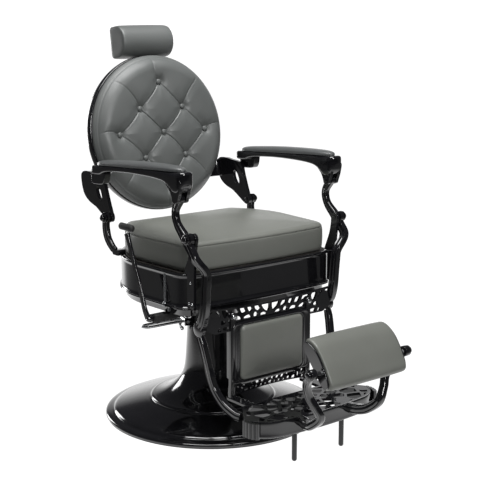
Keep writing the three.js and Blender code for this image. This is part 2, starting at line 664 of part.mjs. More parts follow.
// The flip pad turns on two stub pins that its end plates carry.
function footPad() {
  const group = new THREE.Group();
  const half = 141;
  const crown = new THREE.CatmullRomCurve3([
    [-597, 382], [-596, 397], [-614, 399], [-642, 384], [-670, 350], [-691, 314], [-701, 290],
    [-693, 277], [-680, 284],
  ].map(([a, b]) => new THREE.Vector3(a, b, 0)));
  const section = new THREE.Shape(crown.getPoints(24).map((p) => new THREE.Vector2(p.x, p.y)));
  const soft = 6;
  const cushion = sheetYZ(section, -half + soft, 2 * (half - soft), rounded(soft, 2));
  piece('foot_pad_cushion', leather, cushion, group);
  const backing = strap([[-677, 275.5], [-632, 325.8], [-590.5, 372.5]], 10, 6);
  piece('foot_pad_backing', leather, sheetYZ(backing, -half, 2 * half), group);
  const { y, z } = PAD_PIVOT;
  const cheek = smoothOutline([
    [-594, 374], [-604, 392], [-640, 376], [-668, 342], [-690, 300], [-684, 280], [-668, 284], [-632, 326],
  ], 28);
  const plate = sheetYZ(cheek, half + GAP, 6);
  const ending = join(plate, rodX(PIN_RADIUS, half + 3, PAD_PIVOT.x + 6, y, z));
  pair('foot_pad_end_plate', paint, ending, group);
  return group;
}

// ---- armrests -----------------------------------------------------------------------------
// A solid rail that grows into a block at each end; the blocks drop outside the two pin joints.
function armrest() {
  const under = [
    [200, 764], [140, 775], [97, 782], [20, 789], [-119, 789], [-185, 781], [-210, 766], [-220, 757.5],
  ];
  const rail = outline([
    [-244, 757.5], [-256, 774], [-263, 796], [-263, 812], [-254, 818.8], [-20, 805.2], [206, 791.9],
    [213, 785], [211, 764], ...under,
  ]);
  const soft = 3;
  const beam = sheetYZ(rail, ARM_X - ARM_WIDTH / 2 + soft, ARM_WIDTH - 2 * soft, rounded(soft, 1));
  const drop = [[ARM_FRONT.y, ARM_FRONT.z], [-232, 764], [-236, 790]];
  const frontLug = sheetYZ(strap(drop, 26, 4), 262, 11);
  const frontCheek = sheetYZ(strap(drop, 26, 4), 292, 9);
  const block = outline([[134, 778], [142, 742], [152, 737], [202, 735], [210, 742], [212, 778]]);
  const rearBlock = sheetYZ(block, 277, 24);
  const bosses = [
    rodX(13, 262, 273, ARM_FRONT.y, ARM_FRONT.z, 16),
    rodX(13, 292, 301, ARM_FRONT.y, ARM_FRONT.z, 16),
    rodX(13, 277, 289, ARM_REAR.y, ARM_REAR.z, 16),
  ];
  const bores = [
    rodX(HOLE_RADIUS, 255, 274.5, ARM_FRONT.y, ARM_FRONT.z),
    rodX(HOLE_RADIUS + 1, 275, 295, ARM_REAR.y, ARM_REAR.z),
  ];
  return cut(join(beam, frontLug, frontCheek, rearBlock, ...bosses), ...bores);
}

function armPad() {
  const plan = roundedRectangle(ARM_X - 26, ARM_X + 26, -226, 226, 24);
  return sheetXY(plan, 5, 9.5, rounded(5, 1)).rotateX(-ARM_SLOPE).translate(0, -28, 807.2);
}

function arms() {
  const group = new THREE.Group();
  pair('armrest', paint, armrest(), group);
  pair('arm_pad', leather, armPad(), group);
  return group;
}

const chair = new THREE.Group();
chair.add(base(), lift(), seat(), back(), legs(), footPad(), arms());

export default chair;
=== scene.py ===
import math

import bmesh
import bpy
import numpy as np
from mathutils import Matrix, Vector


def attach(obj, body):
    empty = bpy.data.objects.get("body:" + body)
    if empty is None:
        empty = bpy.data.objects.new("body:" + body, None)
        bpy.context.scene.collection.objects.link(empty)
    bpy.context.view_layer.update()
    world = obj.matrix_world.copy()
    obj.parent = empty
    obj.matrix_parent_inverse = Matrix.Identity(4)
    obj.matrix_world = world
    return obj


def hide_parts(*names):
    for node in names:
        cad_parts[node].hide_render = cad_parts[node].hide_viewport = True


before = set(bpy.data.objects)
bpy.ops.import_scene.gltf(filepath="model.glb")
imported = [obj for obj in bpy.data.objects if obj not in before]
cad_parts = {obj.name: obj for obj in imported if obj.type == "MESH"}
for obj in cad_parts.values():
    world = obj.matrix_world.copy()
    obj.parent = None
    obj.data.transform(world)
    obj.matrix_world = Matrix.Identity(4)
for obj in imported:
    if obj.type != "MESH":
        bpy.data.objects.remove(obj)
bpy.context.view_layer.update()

# ---- Base -------------------------------------------------------------------------------------
# One spun steel bell: a rolled rim on the floor, a shallow dish, a rolled step, and a tapering column.
# Gloss black stove enamel inside and out. A rubber ring under the rim and a turned collar on top.

def skin(rows, columns, ring=False, caps=True):
    """Quads between neighbouring closed loops of a (rows, columns) grid, with a flat face on each end."""
    i = np.arange(rows if ring else rows - 1)[:, None]
    j = np.arange(columns)[None, :]
    right, below = (j + 1) % columns, (i + 1) % rows
    corners = [i * columns + j, i * columns + right, below * columns + right, below * columns + j]
    faces = np.stack(np.broadcast_arrays(*corners), -1).reshape(-1, 4).tolist()
    if caps and not ring:
        faces += [list(range(columns)), list(range((rows - 1) * columns, rows * columns))]
    return faces


def shape(name, points, faces, sharp=40):
    """A mesh object of these points: doubles merged, faces turned outward, edges over sharp degrees kept crisp."""
    mesh = bpy.data.meshes.new(name)
    mesh.from_pydata(np.asarray(points, float).reshape(-1, 3).tolist(), [], faces)
    work = bmesh.new()
    work.from_mesh(mesh)
    bmesh.ops.remove_doubles(work, verts=work.verts, dist=2e-6)
    bmesh.ops.recalc_face_normals(work, faces=work.faces)
    work.to_mesh(mesh)
    work.free()
    mesh.shade_smooth()
    mesh.set_sharp_from_angle(angle=math.radians(sharp))
    piece = bpy.data.objects.new(name, mesh)
    bpy.context.scene.collection.objects.link(piece)
    return piece


def through(points, count, closed=False):
    """Smooth line: .5(2b + (c-a)t + (2a-5b+4c-d)t^2 + (3b-a-3c+d)t^3) between each b and c."""
    p = np.asarray(points, float)
    if closed:
        p = np.vstack([p[-1:], p, p[:2]])
    else:
        p = np.vstack([2 * p[:1] - p[1:2], p, 2 * p[-1:] - p[-2:-1]])
    spans = len(p) - 3
    t = np.linspace(0, spans, count, endpoint=not closed)
    k = np.minimum(t.astype(int), spans - 1)
    f = (t - k)[:, None]
    a, b, c, d = p[k], p[k + 1], p[k + 2], p[k + 3]
    return 0.5 * (2 * b + (c - a) * f + (2 * a - 5 * b + 4 * c - d) * f**2 + (3 * b - a - 3 * c + d) * f**3)


def turned(name, profile, count=144, sharp=40):
    """Closed (r, z) profile turned about Z: (r cos a, r sin a, z)."""
    r, z = np.asarray(profile, float).T
    a = np.linspace(0, 2 * np.pi, count, endpoint=False)
    rows = np.stack([r[:, None] * np.cos(a), r[:, None] * np.sin(a), z[:, None] + 0 * a], -1)
    return shape(name, rows, skin(len(r), count, ring=True), sharp)


def finish(name, low, high, rough, metal=0.0, coat=0.0, patch=9.0, grain=600.0, depth=0.0001, cells=False):
    """Node material: noise moves the colour from low to high and the roughness over its range, and fine noise
    or leather cells raise a bump of the given depth."""
    material = bpy.data.materials.new(name)
    material.use_nodes = True
    nodes, links = material.node_tree.nodes, material.node_tree.links
    shader = nodes["Principled BSDF"]
    shader.inputs["Metallic"].default_value = metal
    shader.inputs["Coat Weight"].default_value = coat
    shader.inputs["Coat Roughness"].default_value = 0.04
    place = nodes.new("ShaderNodeTexCoord")
    clouds = nodes.new("ShaderNodeTexNoise")
    clouds.inputs["Scale"].default_value = patch
    clouds.inputs["Detail"].default_value = 3
    links.new(place.outputs["Object"], clouds.inputs["Vector"])
    ramp = nodes.new("ShaderNodeValToRGB")
    ramp.color_ramp.elements[0].position = 0.3
    ramp.color_ramp.elements[1].position = 0.7
    ramp.color_ramp.elements[0].color = (*low, 1)
    ramp.color_ramp.elements[1].color = (*high, 1)
    links.new(clouds.outputs["Fac"], ramp.inputs["Fac"])
    links.new(ramp.outputs["Color"], shader.inputs["Base Color"])
    spread = nodes.new("ShaderNodeMapRange")
    spread.inputs["From Min"].default_value = 0.3
    spread.inputs["From Max"].default_value = 0.7
    spread.inputs["To Min"].default_value = rough[0]
    spread.inputs["To Max"].default_value = rough[1]
    links.new(clouds.outputs["Fac"], spread.inputs["Value"])
    links.new(spread.outputs["Result"], shader.inputs["Roughness"])
    fine = nodes.new("ShaderNodeTexVoronoi" if cells else "ShaderNodeTexNoise")
    fine.inputs["Scale"].default_value = grain
    links.new(place.outputs["Object"], fine.inputs["Vector"])
    bump = nodes.new("ShaderNodeBump")
    bump.inputs["Distance"].default_value = depth
    bump.inputs["Strength"].default_value = 0.6
    links.new(fine.outputs["Distance" if cells else "Fac"], bump.inputs["Height"])
    links.new(bump.outputs["Normal"], shader.inputs["Normal"])
    return material


def fit(piece, material, body, slot, *nodes):
    """Gives a piece its material, the body it rides on and the CAD nodes it stands for, which it hides. slot is not
    used.
    """
    piece.data.materials.clear()
    piece.data.materials.append(material)
    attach(piece, body)
    if nodes:
        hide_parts(*nodes)
    return piece


def carried(material, *nodes):
    """CAD nodes that stay in view take this material in their own slots."""
    for node in nodes:
        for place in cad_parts[node].material_slots:
            place.material = material


enamel = finish("gloss_black_enamel", (0.0045, 0.0045, 0.0055), (0.0065, 0.0065, 0.0075), (0.10, 0.15),
                coat=0.6, patch=14, grain=160, depth=0.00012)
steel = finish("machined_steel", (0.40, 0.41, 0.42), (0.48, 0.49, 0.50), (0.26, 0.36), metal=1, patch=40, grain=900,
               depth=0.00005)
chrome = finish("polished_chrome", (0.66, 0.67, 0.68), (0.74, 0.75, 0.76), (0.07, 0.12), metal=1, patch=20, grain=500,
                depth=0.00002)
rubber = finish("black_rubber", (0.010, 0.010, 0.010), (0.016, 0.016, 0.016), (0.55, 0.7), patch=30, grain=900,
                depth=0.0002)

BELL_OUTSIDE = [
    (0.3270, 0.0023), (0.3350, 0.0023), (0.3395, 0.0050), (0.3403, 0.0095), (0.3370, 0.0140), (0.3290, 0.0165),
    (0.3200, 0.0182), (0.3150, 0.0200), (0.3120, 0.0235), (0.3070, 0.0270), (0.2960, 0.0308), (0.2700, 0.0380),
    (0.2400, 0.0455), (0.2150, 0.0508), (0.2020, 0.0532), (0.1975, 0.0552), (0.1960, 0.0595), (0.1910, 0.0628),
    (0.1820, 0.0645), (0.1660, 0.0690), (0.1500, 0.0760), (0.1330, 0.0870), (0.1180, 0.1000), (0.1065, 0.1130),
    (0.0980, 0.1260), (0.0920, 0.1430), (0.0882, 0.1650), (0.0848, 0.2050), (0.0818, 0.2550), (0.0795, 0.3050),
    (0.0780, 0.3450),
]
BELL_INSIDE = [
    (0.0730, 0.345), (0.0830, 0.158), (0.0920, 0.120), (0.1120, 0.095), (0.1470, 0.070), (0.1880, 0.050),
    (0.3030, 0.020), (0.3220, 0.0023),
]
bell = turned("base_bell", [*through(BELL_OUTSIDE, 150).tolist(), *BELL_INSIDE], 192)
fit(bell, enamel, "base", "black_paint", "base_shell")


def round_box(a0, a1, b0, b1, r, steps=6):
    """Closed outline of a rectangle with corners of radius r."""
    turn = np.linspace(0, np.pi / 2, steps)
    corners = [(a1 - r, b0 + r, -0.5), (a1 - r, b1 - r, 0), (a0 + r, b1 - r, 0.5), (a0 + r, b0 + r, 1)]
    parts = [np.stack([a + r * np.cos(turn + s * np.pi), b + r * np.sin(turn + s * np.pi)], -1) for a, b, s in corners]
    return np.vstack(parts)


collar = turned("column_collar", round_box(0.0675, 0.0812, 0.3453, 0.3542, 0.003))
fit(collar, enamel, "base", "black_paint", "column_top_ring")
foot_ring = turned("rubber_foot_ring", round_box(0.3222, 0.3368, 0.0, 0.0021, 0.0008))
fit(foot_ring, rubber, "base", "black_rubber", "base_floor_ring")
carried(steel, "pump_foot_plate", "pump_cylinder")

# ---- Pump lever -------------------------------------------------------------------------------
# A hairpin of bright round bar turns on a pin between two ears on the column, and its inner end
# bends down to a ball where it meets the pump. Chrome plated; the bracket is enamelled.

def swept(name, path, section, across=(1, 0, 0), grow=None, dome=0.0, sharp=40):
    """A section carried along a line: p + a n + b x, with x the cross axis made square to the line and n = t x x.
    grow scales each row. dome rounds both ends over that length."""
    p = np.asarray(path, float)
    scale = np.ones(len(p)) if grow is None else np.asarray(grow, float)
    t = np.gradient(p, axis=0)
    t /= np.linalg.norm(t, axis=1)[:, None]
    if dome:
        turn = np.linspace(0, np.pi / 2, 7)[1:-1]
        start = p[0] - t[0] * dome * np.sin(turn)[::-1, None]
        end = p[-1] + t[-1] * dome * np.sin(turn)[:, None]
        scale = np.concatenate([scale[0] * np.cos(turn)[::-1], scale, scale[-1] * np.cos(turn)])
        t = np.vstack([np.repeat(t[:1], len(turn), 0), t, np.repeat(t[-1:], len(turn), 0)])
        p = np.vstack([start, p, end])
    x = np.asarray(across, float) - (t @ np.asarray(across, float))[:, None] * t
    x /= np.linalg.norm(x, axis=1)[:, None]
    n = np.cross(t, x)
    s = np.asarray(section, float)[None] * scale[:, None, None]
    rows = p[:, None] + s[..., :1] * n[:, None] + s[..., 1:] * x[:, None]
    return shape(name, rows, skin(len(p), s.shape[1]), sharp)


def oval(a, b, count=20):
    """Closed oval of half axes a and b."""
    turn = np.linspace(0, 2 * np.pi, count, endpoint=False)
    return np.stack([a * np.cos(turn), b * np.sin(turn)], -1)


def joined(name, *pieces):
    """Several closed shapes of one casting as one object."""
    bpy.ops.object.select_all(action="DESELECT")
    for piece in pieces:
        piece.select_set(True)
    bpy.context.view_layer.objects.active = pieces[0]
    bpy.ops.object.join()
    pieces[0].name = name
    pieces[0].data.name = name
    return pieces[0]


def softened(name, node, bevel, smooth=40):
    """A CAD node's own shape with its doubles merged, flats dissolved and edges rounded by a bevel."""
    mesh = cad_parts[node].data.copy()
    work = bmesh.new()
    work.from_mesh(mesh)
    bmesh.ops.remove_doubles(work, verts=work.verts, dist=1e-5)
    bmesh.ops.dissolve_limit(work, angle_limit=math.radians(1), verts=work.verts, edges=work.edges)
    work.to_mesh(mesh)
    work.free()
    mesh.shade_smooth()
    mesh.set_sharp_from_angle(angle=math.radians(smooth))
    piece = bpy.data.objects.new(name, mesh)
    bpy.context.scene.collection.objects.link(piece)
    edge_round(piece, bevel)
    return piece


def edge_round(piece, width, angle=35, segments=3):
    """Rounds the edges over the angle."""
    bevel = piece.modifiers.new("edges", "BEVEL")
    bevel.width = width
    bevel.segments = segments
    bevel.limit_method = "ANGLE"
    bevel.angle_limit = math.radians(angle)
    bevel.harden_normals = True
    return piece


def about_z(points, angle):
    """Points turned about Z."""
    p = np.asarray(points, float)
    c, s = math.cos(angle), math.sin(angle)
    return np.stack([p[..., 0] * c - p[..., 1] * s, p[..., 0] * s + p[..., 1] * c, p[..., 2]], -1)


PUMP_TURN = math.radians(165)
hairpin_line = through([
    (0.098, 0.014, 0.308), (0.150, 0.0155, 0.306), (0.205, 0.0155, 0.3018), (0.224, 0.012, 0.3005),
    (0.232, 0.0, 0.300), (0.224, -0.012, 0.3005), (0.205, -0.0155, 0.3018), (0.150, -0.0155, 0.306),
    (0.098, -0.014, 0.308),
], 110)
hairpin = swept("hairpin", about_z(hairpin_line, PUMP_TURN), oval(0.0043, 0.0043, 16), (0, 0, 1))
tail_line = through([(0.096, -0.0148, 0.304), (0.103, -0.015, 0.294), (0.1035, -0.015, 0.286), (0.098, -0.015, 0.277)], 24)
tail = swept("tail", about_z(tail_line, PUMP_TURN), oval(0.0043, 0.0043, 16), (0, 1, 0))
ball_line = about_z([(0.0985, -0.015, 0.2785), (0.0975, -0.015, 0.2765)], PUMP_TURN)
ball = swept("ball", ball_line, oval(0.0062, 0.0062, 20), (0, 1, 0), dome=0.006)
hub_line = about_z([(0.094, -0.0195, 0.308), (0.094, 0.0195, 0.308)], PUMP_TURN)
hub = swept("hub", hub_line, oval(0.0088, 0.0088, 28), (0, 0, 1))
lever = joined("pump_hairpin", hairpin, tail, ball, hub)
fit(lever, chrome, "pump_lever_body", "chrome", "pump_lever")
fit(softened("pump_bracket", "pump_lever_bracket", 0.0015), enamel, "base", "black_paint", "pump_lever_bracket")
pin_line = about_z([(0.094, -0.0295, 0.308), (0.094, 0.0295, 0.308)], PUMP_TURN)
pump_pin = swept("pump_pin", pin_line, oval(0.0054, 0.0054, 20), (0, 0, 1))
fit(pump_pin, steel, "base", "machined_steel", "pump_lever_pin")

# ---- Ram and sleeve ---------------------------------------------------------------------------
# The chromed ram stands in the pump; a black tube over it hides it and slides into the column.

ram = turned("bright_ram", [(0, 0.06), (0.0276, 0.06), (0.0286, 0.061), (0.0286, 0.4117), (0, 0.4117)], 72)
fit(ram, chrome, "lift_column", "chrome", "lift_ram")
sleeve = turned("black_sleeve", round_box(0.0622, 0.066, 0.188, 0.4115, 0.0012), 96)
fit(sleeve, enamel, "lift_column", "black_paint", "ram_sleeve")

# ---- Seat pan ---------------------------------------------------------------------------------
# A deep pressed band round the seat, gloss black: a bead along the top, a double lip near the bottom
# and a narrower skirt under it. Half-round strips of light satin metal cover its side joints; their light grey is in
# part a painted highlight, standing for the highlight line along the enamel seams there.

def quadratic(a, b, c, count):
    """Bezier line (1-t)^2 a + 2t(1-t) b + t^2 c."""
    t = np.linspace(0, 1, count)[:, None]
    return (1 - t) ** 2 * np.array(a) + 2 * t * (1 - t) * np.array(b) + t**2 * np.array(c)


def seat_plan(back, half, front, corner, rear=9.0, count=480):
    """Seat outline: round back about (0, -.02), straight sides, round front corners, bowed front, evenly spaced."""
    bow, centre = 0.012, -0.02
    corner_y = front + bow + corner
    turn = np.linspace(1.5 * np.pi + 0.25, 2 * np.pi, 16)
    arc = np.stack([half - corner + corner * np.cos(turn), corner_y + corner * np.sin(turn)], -1)
    nose = quadratic((-arc[0, 0], arc[0, 1]), (0, front - bow), arc[0], 40)
    reach = min(rear - centre, back)
    end = math.asin(reach / back)
    sweep = np.linspace(0, end, 60)
    side = np.stack([back * np.cos(sweep), centre + back * np.sin(sweep)], -1)
    right = np.vstack([arc[1:], side])
    left = right[::-1] * (-1, 1)
    line = np.vstack([nose, right, left])
    line = np.vstack([line, line[:1]])
    run = np.concatenate([[0], np.cumsum(np.linalg.norm(np.diff(line, axis=0), axis=1))])
    at = np.linspace(0, run[-1], count, endpoint=False)
    even = np.stack([np.interp(at, run, line[:, 0]), np.interp(at, run, line[:, 1])], -1)
    for _ in range(12):
        even = 0.25 * np.roll(even, 1, 0) + 0.5 * even + 0.25 * np.roll(even, -1, 0)
    return even


def offset(line, grow):
    """A closed line moved out along its normals."""
    t = np.roll(line, -1, 0) - np.roll(line, 1, 0)
    t /= np.linalg.norm(t, axis=1)[:, None]
    return line + grow * np.stack([t[:, 1], -t[:, 0]], -1)


pan_line = seat_plan(0.293, 0.284, -0.258, 0.046)
PAN_SECTION = [
    (-0.0220, 0.4008), (-0.0138, 0.4000), (-0.0130, 0.4010), (-0.0130, 0.4190), (-0.0110, 0.4208), (0.0010, 0.4210),
    (0.0040, 0.4218), (0.0050, 0.4236), (0.0042, 0.4250), (0.0030, 0.4256), (0.0042, 0.4264), (0.0050, 0.4280),
    (0.0040, 0.4298), (0.0012, 0.4308), (0.0002, 0.4325), (0.0000, 0.4400), (0.0000, 0.5110), (0.0004, 0.5160),
    (0.0020, 0.5178), (0.0031, 0.5200), (0.0033, 0.5222), (0.0026, 0.5246), (0.0006, 0.5259), (-0.0060, 0.5258),
    (-0.0090, 0.5245), (-0.0090, 0.4310), (-0.0120, 0.4295), (-0.0200, 0.4290), (-0.0220, 0.4270),
]
pan_rows = [np.column_stack([offset(pan_line, g), np.full(len(pan_line), z)]) for g, z in PAN_SECTION]
pan = shape("pressed_pan", np.array(pan_rows), skin(len(pan_rows), len(pan_line), ring=True), 50)
fit(pan, enamel, "seat", "black_paint", "seat_pan")

# Painted highlight in part: this light satin metal gives the seam strips the light grey of the highlight seen along the
# pan's side joints.
seam_highlight_trim = finish("satin_seam_highlight", (0.30, 0.31, 0.32), (0.36, 0.37, 0.38), (0.22, 0.30), metal=1, patch=30, grain=700,
              depth=0.00003)
for label, side in (("right", -1), ("left", 1)):
    here = np.argmin(np.abs(pan_line[:, 1] + 0.152) + 9 * (pan_line[:, 0] * side < 0))
    x, y = pan_line[here]
    strip_line = through([
        (x + side * 0.0003, y, 0.5165), (x + side * 0.0003, y, 0.480), (x + side * 0.0003, y, 0.440),
        (x + side * 0.0010, y, 0.4325), (x + side * 0.0046, y, 0.4285), (x + side * 0.0046, y, 0.4220),
        (x - side * 0.0080, y, 0.4195), (x - side * 0.0127, y, 0.4160), (x - side * 0.0127, y, 0.4030),
    ], 70)
    strip = swept(f"pan_strip_{label}", strip_line, oval(0.0014, 0.0052, 20), (0, 1, 0))
    fit(strip, seam_highlight_trim, "seat", "machined_steel")

# ---- Under the seat ---------------------------------------------------------------------------
# A pressed cross on a machined turntable carries a ply board. Seen only from below and at rest.

under = finish("under_enamel", (0.010, 0.010, 0.011), (0.014, 0.014, 0.015), (0.30, 0.42), patch=12, grain=300,
               depth=0.0002)
fit(softened("pressed_cross", "seat_under_frame", 0.0012), under, "seat", "black_paint", "seat_under_frame")
# Painted shade: the ply board is coloured near black so the rim of it showing between cushion and pan reads as the dark
# gap there.
shade_dark_plywood = finish("plywood_painted_dark", (0.018, 0.016, 0.014), (0.030, 0.026, 0.022), (0.55, 0.7), patch=22, grain=220, depth=0.0003)
carried(shade_dark_plywood, "seat_board")
carried(steel, "recline_lock_cylinder")
table_top = turned("turntable", [(0, 0.412), (0.0985, 0.412), (0.1, 0.4135), (0.1, 0.4225), (0.0985, 0.424), (0, 0.424)])
fit(table_top, steel, "seat", "machined_steel", "seat_turntable")

# ---- Seat cushion -----------------------------------------------------------------------------
# A boxed foam cushion in grey artificial leather: a crowned top sewn to an upright band, with a
# turned seam round the top edge and another round the foot where it meets the pan.

leather = finish("grey_artificial_leather", (0.140, 0.145, 0.130), (0.156, 0.161, 0.145), (0.36, 0.46), patch=7,
                 grain=620, depth=0.00022, cells=True)

seat_line = seat_plan(0.2775, 0.2655, -0.2490, 0.042, 0.172, 560)
SEAT_SECTION = [
    (-0.0100, 0.5275), (-0.0040, 0.5285), (0.0000, 0.5330), (0.0018, 0.5420), (0.0026, 0.5560), (0.0028, 0.5720),
    (0.0022, 0.5880), (0.0012, 0.5960), (0.0004, 0.5985), (-0.0012, 0.5996), (0.0000, 0.6010), (-0.0010, 0.6045),
    (-0.0048, 0.6090), (-0.0120, 0.6122),
]
seat_rows = [np.column_stack([offset(seat_line, g), np.full(len(seat_line), z)]) for g, z in SEAT_SECTION]
middle = np.array([0.0, -0.035])
edge = offset(seat_line, -0.0120)
for share in np.linspace(0.97, 0.0, 44):
    ring_line = middle + (edge - middle) * share
    lift = 0.6122 + 0.0125 * (1 - share**2.2)
    lift = lift + 0.0012 * np.sin(ring_line[:, 0] * 19 + 1.1) * np.sin(ring_line[:, 1] * 23) * (1 - share)
    seat_rows.append(np.column_stack([ring_line, lift]))
seat_cover = shape("seat_cover", np.array(seat_rows), skin(len(seat_rows), len(seat_line)), 60)
fit(seat_cover, leather, "seat", "grey_upholstery", "seat_cushion")

# ---- Pivots beside the seat -------------------------------------------------------------------
# Cast lugs rise at the front corners and cranked posts at the rear. Big capped bolts hold the leg
# frame and the back to them. All gloss black castings, with small bright screws.

def plate(name, outline, lo, hi, bevel, plane="YZ"):
    """A sheet cut to an outline in a plane, from lo to hi along the third axis, with rounded edges."""
    line = np.asarray(outline, float)
    low, high = np.full(len(line), lo), np.full(len(line), hi)
    order = {"YZ": (2, 0, 1), "XZ": (0, 2, 1), "XY": (0, 1, 2)}[plane]
    rows = [np.column_stack([line, level])[:, order] for level in (low, high)]
    return edge_round(shape(name, np.array(rows), skin(2, len(line))), bevel)


def mirror(piece, name):
    """The same piece on the other side: x turned to -x and the faces turned back outward."""
    twin = piece.copy()
    twin.data = piece.data.copy()
    twin.name = name
    twin.data.name = name
    bpy.context.scene.collection.objects.link(twin)
    co = np.zeros(len(twin.data.vertices) * 3)
    twin.data.vertices.foreach_get("co", co)
    co = co.reshape(-1, 3) * (-1, 1, 1)
    twin.data.vertices.foreach_set("co", co.ravel())
    work = bmesh.new()
    work.from_mesh(twin.data)
    bmesh.ops.reverse_faces(work, faces=work.faces)
    work.to_mesh(twin.data)
    work.free()
    return twin


def both_sides(piece, name, material, bodies, slot, *nodes):
    """The piece at +X, the sitter's left, and its twin at -X."""
    twin = mirror(piece, f"{name}_right")
    piece.name = f"{name}_left"
    body_left, body_right = bodies if isinstance(bodies, tuple) else (bodies, bodies)
    fit(piece, material, body_left, slot, *[f"{n}_left" for n in nodes])
    fit(twin, material, body_right, slot, *[f"{n}_right" for n in nodes])
    return piece, twin


def rod_x(name, radius, x0, x1, y, z, dome=0.0, count=40):
    """A round rod along X with both ends domed."""
    line = [(x0 + dome, y, z), (x1 - dome, y, z)]
    return swept(name, line, oval(radius, radius, count), (0, 0, 1), dome=dome)


def button(x_face, side_length, y, z, radius, name):
    """A low domed screw head on a face that looks along +X."""
    turn = np.linspace(0, np.pi / 2, 6)
    xs = np.concatenate([[x_face], x_face + side_length * np.sin(turn)])
    rs = np.concatenate([[radius], radius * np.cos(turn)])
    rs[-1] = radius * 0.02
    a = np.linspace(0, 2 * np.pi, 18, endpoint=False)
    rows = np.stack([xs[:, None] + 0 * a, y + rs[:, None] * np.cos(a), z + rs[:, None] * np.sin(a)], -1)
    return shape(name, rows, skin(len(xs), 18))


FRONT_Y, PIVOT_Z, REAR_Y = -0.270, 0.634, 0.158
lug_outline = through([
    (-0.2840, 0.6340), (-0.2800, 0.6440), (-0.2700, 0.6482), (-0.2600, 0.6440), (-0.2560, 0.6340), (-0.2545, 0.6120),
    (-0.2480, 0.5820), (-0.2370, 0.5540), (-0.2290, 0.5350), (-0.2275, 0.5275),
], 60)
lug_low = [(-0.2400, 0.5268), (-0.2400, 0.4360), (-0.2440, 0.4340), (-0.2680, 0.4340), (-0.2720, 0.4380)]
lug_back = through([(-0.2725, 0.500), (-0.2740, 0.550), (-0.2790, 0.600), (-0.2838, 0.628)], 20)
front_lug = plate("lug", np.vstack([lug_outline, lug_low, lug_back]), 0.2615, 0.2712, 0.0016)
both_sides(front_lug, "corner_lug", enamel, "seat", "black_paint", "seat_front_lug")
screw = finish("bright_screw", (0.55, 0.56, 0.57), (0.64, 0.65, 0.66), (0.18, 0.28), metal=1, patch=60, grain=900,
               depth=0.00003)
lug_screws = joined("lug_screw_set", *[
    button(0.2711, 0.0024, y, z, 0.0042, "screw") for y, z in ((-0.2560, 0.505), (-0.2625, 0.4450), (-0.2490, 0.4450))
])
both_sides(lug_screws, "lug_screws", screw, "seat", "machined_steel")


def strap_section(half_wide, half_thick, rib=0.0, edge=0.0025):
    """Section of a cast strap: a rounded rectangle, with two shallow flutes along each broad face."""
    line = round_box(-half_wide, half_wide, -half_thick, half_thick, edge, 5)
    dense = []
    for a, b in zip(line, np.roll(line, -1, 0)):
        steps = max(1, int(np.linalg.norm(b - a) / 0.0012))
        dense.extend(a + (b - a) * (np.arange(steps) / steps)[:, None])
    dense = np.array(dense)
    flat = np.abs(np.abs(dense[:, 1]) - half_thick) < 1e-5
    wave = rib * (0.5 - 0.5 * np.cos(dense[:, 0] / half_wide * 2 * np.pi)) * np.sign(dense[:, 1])
    dense[flat, 1] -= wave[flat] * (np.abs(dense[flat, 0]) < half_wide * 0.98)
    return dense


def flat_path(points, x, count=80):
    """A smooth line in Y and Z at one x."""
    line = through(points, count)
    return np.column_stack([np.full(len(line), x), line])


rear_line = flat_path([(0.158, 0.634), (0.161, 0.604), (0.152, 0.572), (0.130, 0.549), (0.110, 0.538)], 0.283)
rear_grow = np.interp(np.linspace(0, 1, 80), [0, 0.1, 0.4, 0.8, 1], [0.95, 1.05, 1.1, 0.95, 0.85])
rear_post = joined(
    "rear",
    swept("rear_strap", rear_line, strap_section(0.0130, 0.0058, 0.0010), (1, 0, 0), rear_grow),
    rod_x("rear_boss", 0.0160, 0.2770, 0.2890, REAR_Y, PIVOT_Z, 0.0015),
    plate("rear_foot", round_box(0.0845, 0.1185, 0.5268, 0.5440, 0.005), 0.2635, 0.2888, 0.002),
)
both_sides(rear_post, "cranked_post", enamel, "seat", "black_paint", "seat_rear_post")

for name, y, face, node in (("front", FRONT_Y, 0.2913, "front_pivot_bolt"), ("rear", REAR_Y, 0.2893, "rear_pivot_bolt")):
    bolt = joined(
        f"{name}_bolt",
        rod_x("shank", 0.0060, 0.260, face + 0.001, y, PIVOT_Z, 0.0005, 24),
        rod_x("head", 0.0150, face, face + 0.0068, y, PIVOT_Z, 0.0020),
        rod_x("cap", 0.0100, face + 0.0050, face + 0.0150, y, PIVOT_Z, 0.0045),
    )
    both_sides(bolt, f"{name}_capped_bolt", enamel, "seat", "black_paint", node)

# ---- Recline lever ----------------------------------------------------------------------------
# A flat bar hangs beside the seat from a soft grip, turns in under the pan into a ribbed clamp
# block, and ends in a bright rod that runs up into its bearing.

lever_line = np.array([(-0.032, 0.620), (-0.041, 0.600), (-0.065, 0.542), (-0.102, 0.454), (-0.1175, 0.412), (-0.1330, 0.3885)])
bar_line = flat_path(lever_line, -0.3325, 70)
lever_bar = swept("lever_flat", bar_line, strap_section(0.0088, 0.0042, 0.0005, 0.002), (1, 0, 0),
                  np.interp(np.linspace(0, 1, 70), [0, 0.25, 0.8, 1], [1.15, 0.9, 1.0, 1.15]))
elbow_line = through([(-0.3325, -0.1330, 0.3885), (-0.3300, -0.1350, 0.3862), (-0.3260, -0.136, 0.386), (-0.3202, -0.136, 0.386)], 14)
elbow = swept("lever_elbow", elbow_line, oval(0.0098, 0.0100, 24), (0, 1, 0), dome=0.0)
arm = joined("recline_bar", lever_bar, elbow)
fit(arm, enamel, "recline_lever_body", "black_paint", "recline_lever_bar")
grip = swept("recline_grip", [(-0.3325, -0.057, 0.638), (-0.3325, -0.003, 0.638)], oval(0.0105, 0.0095, 32), (1, 0, 0),
             dome=0.007)
fit(grip, rubber, "recline_lever_body", "black_rubber", "recline_lever_grip")

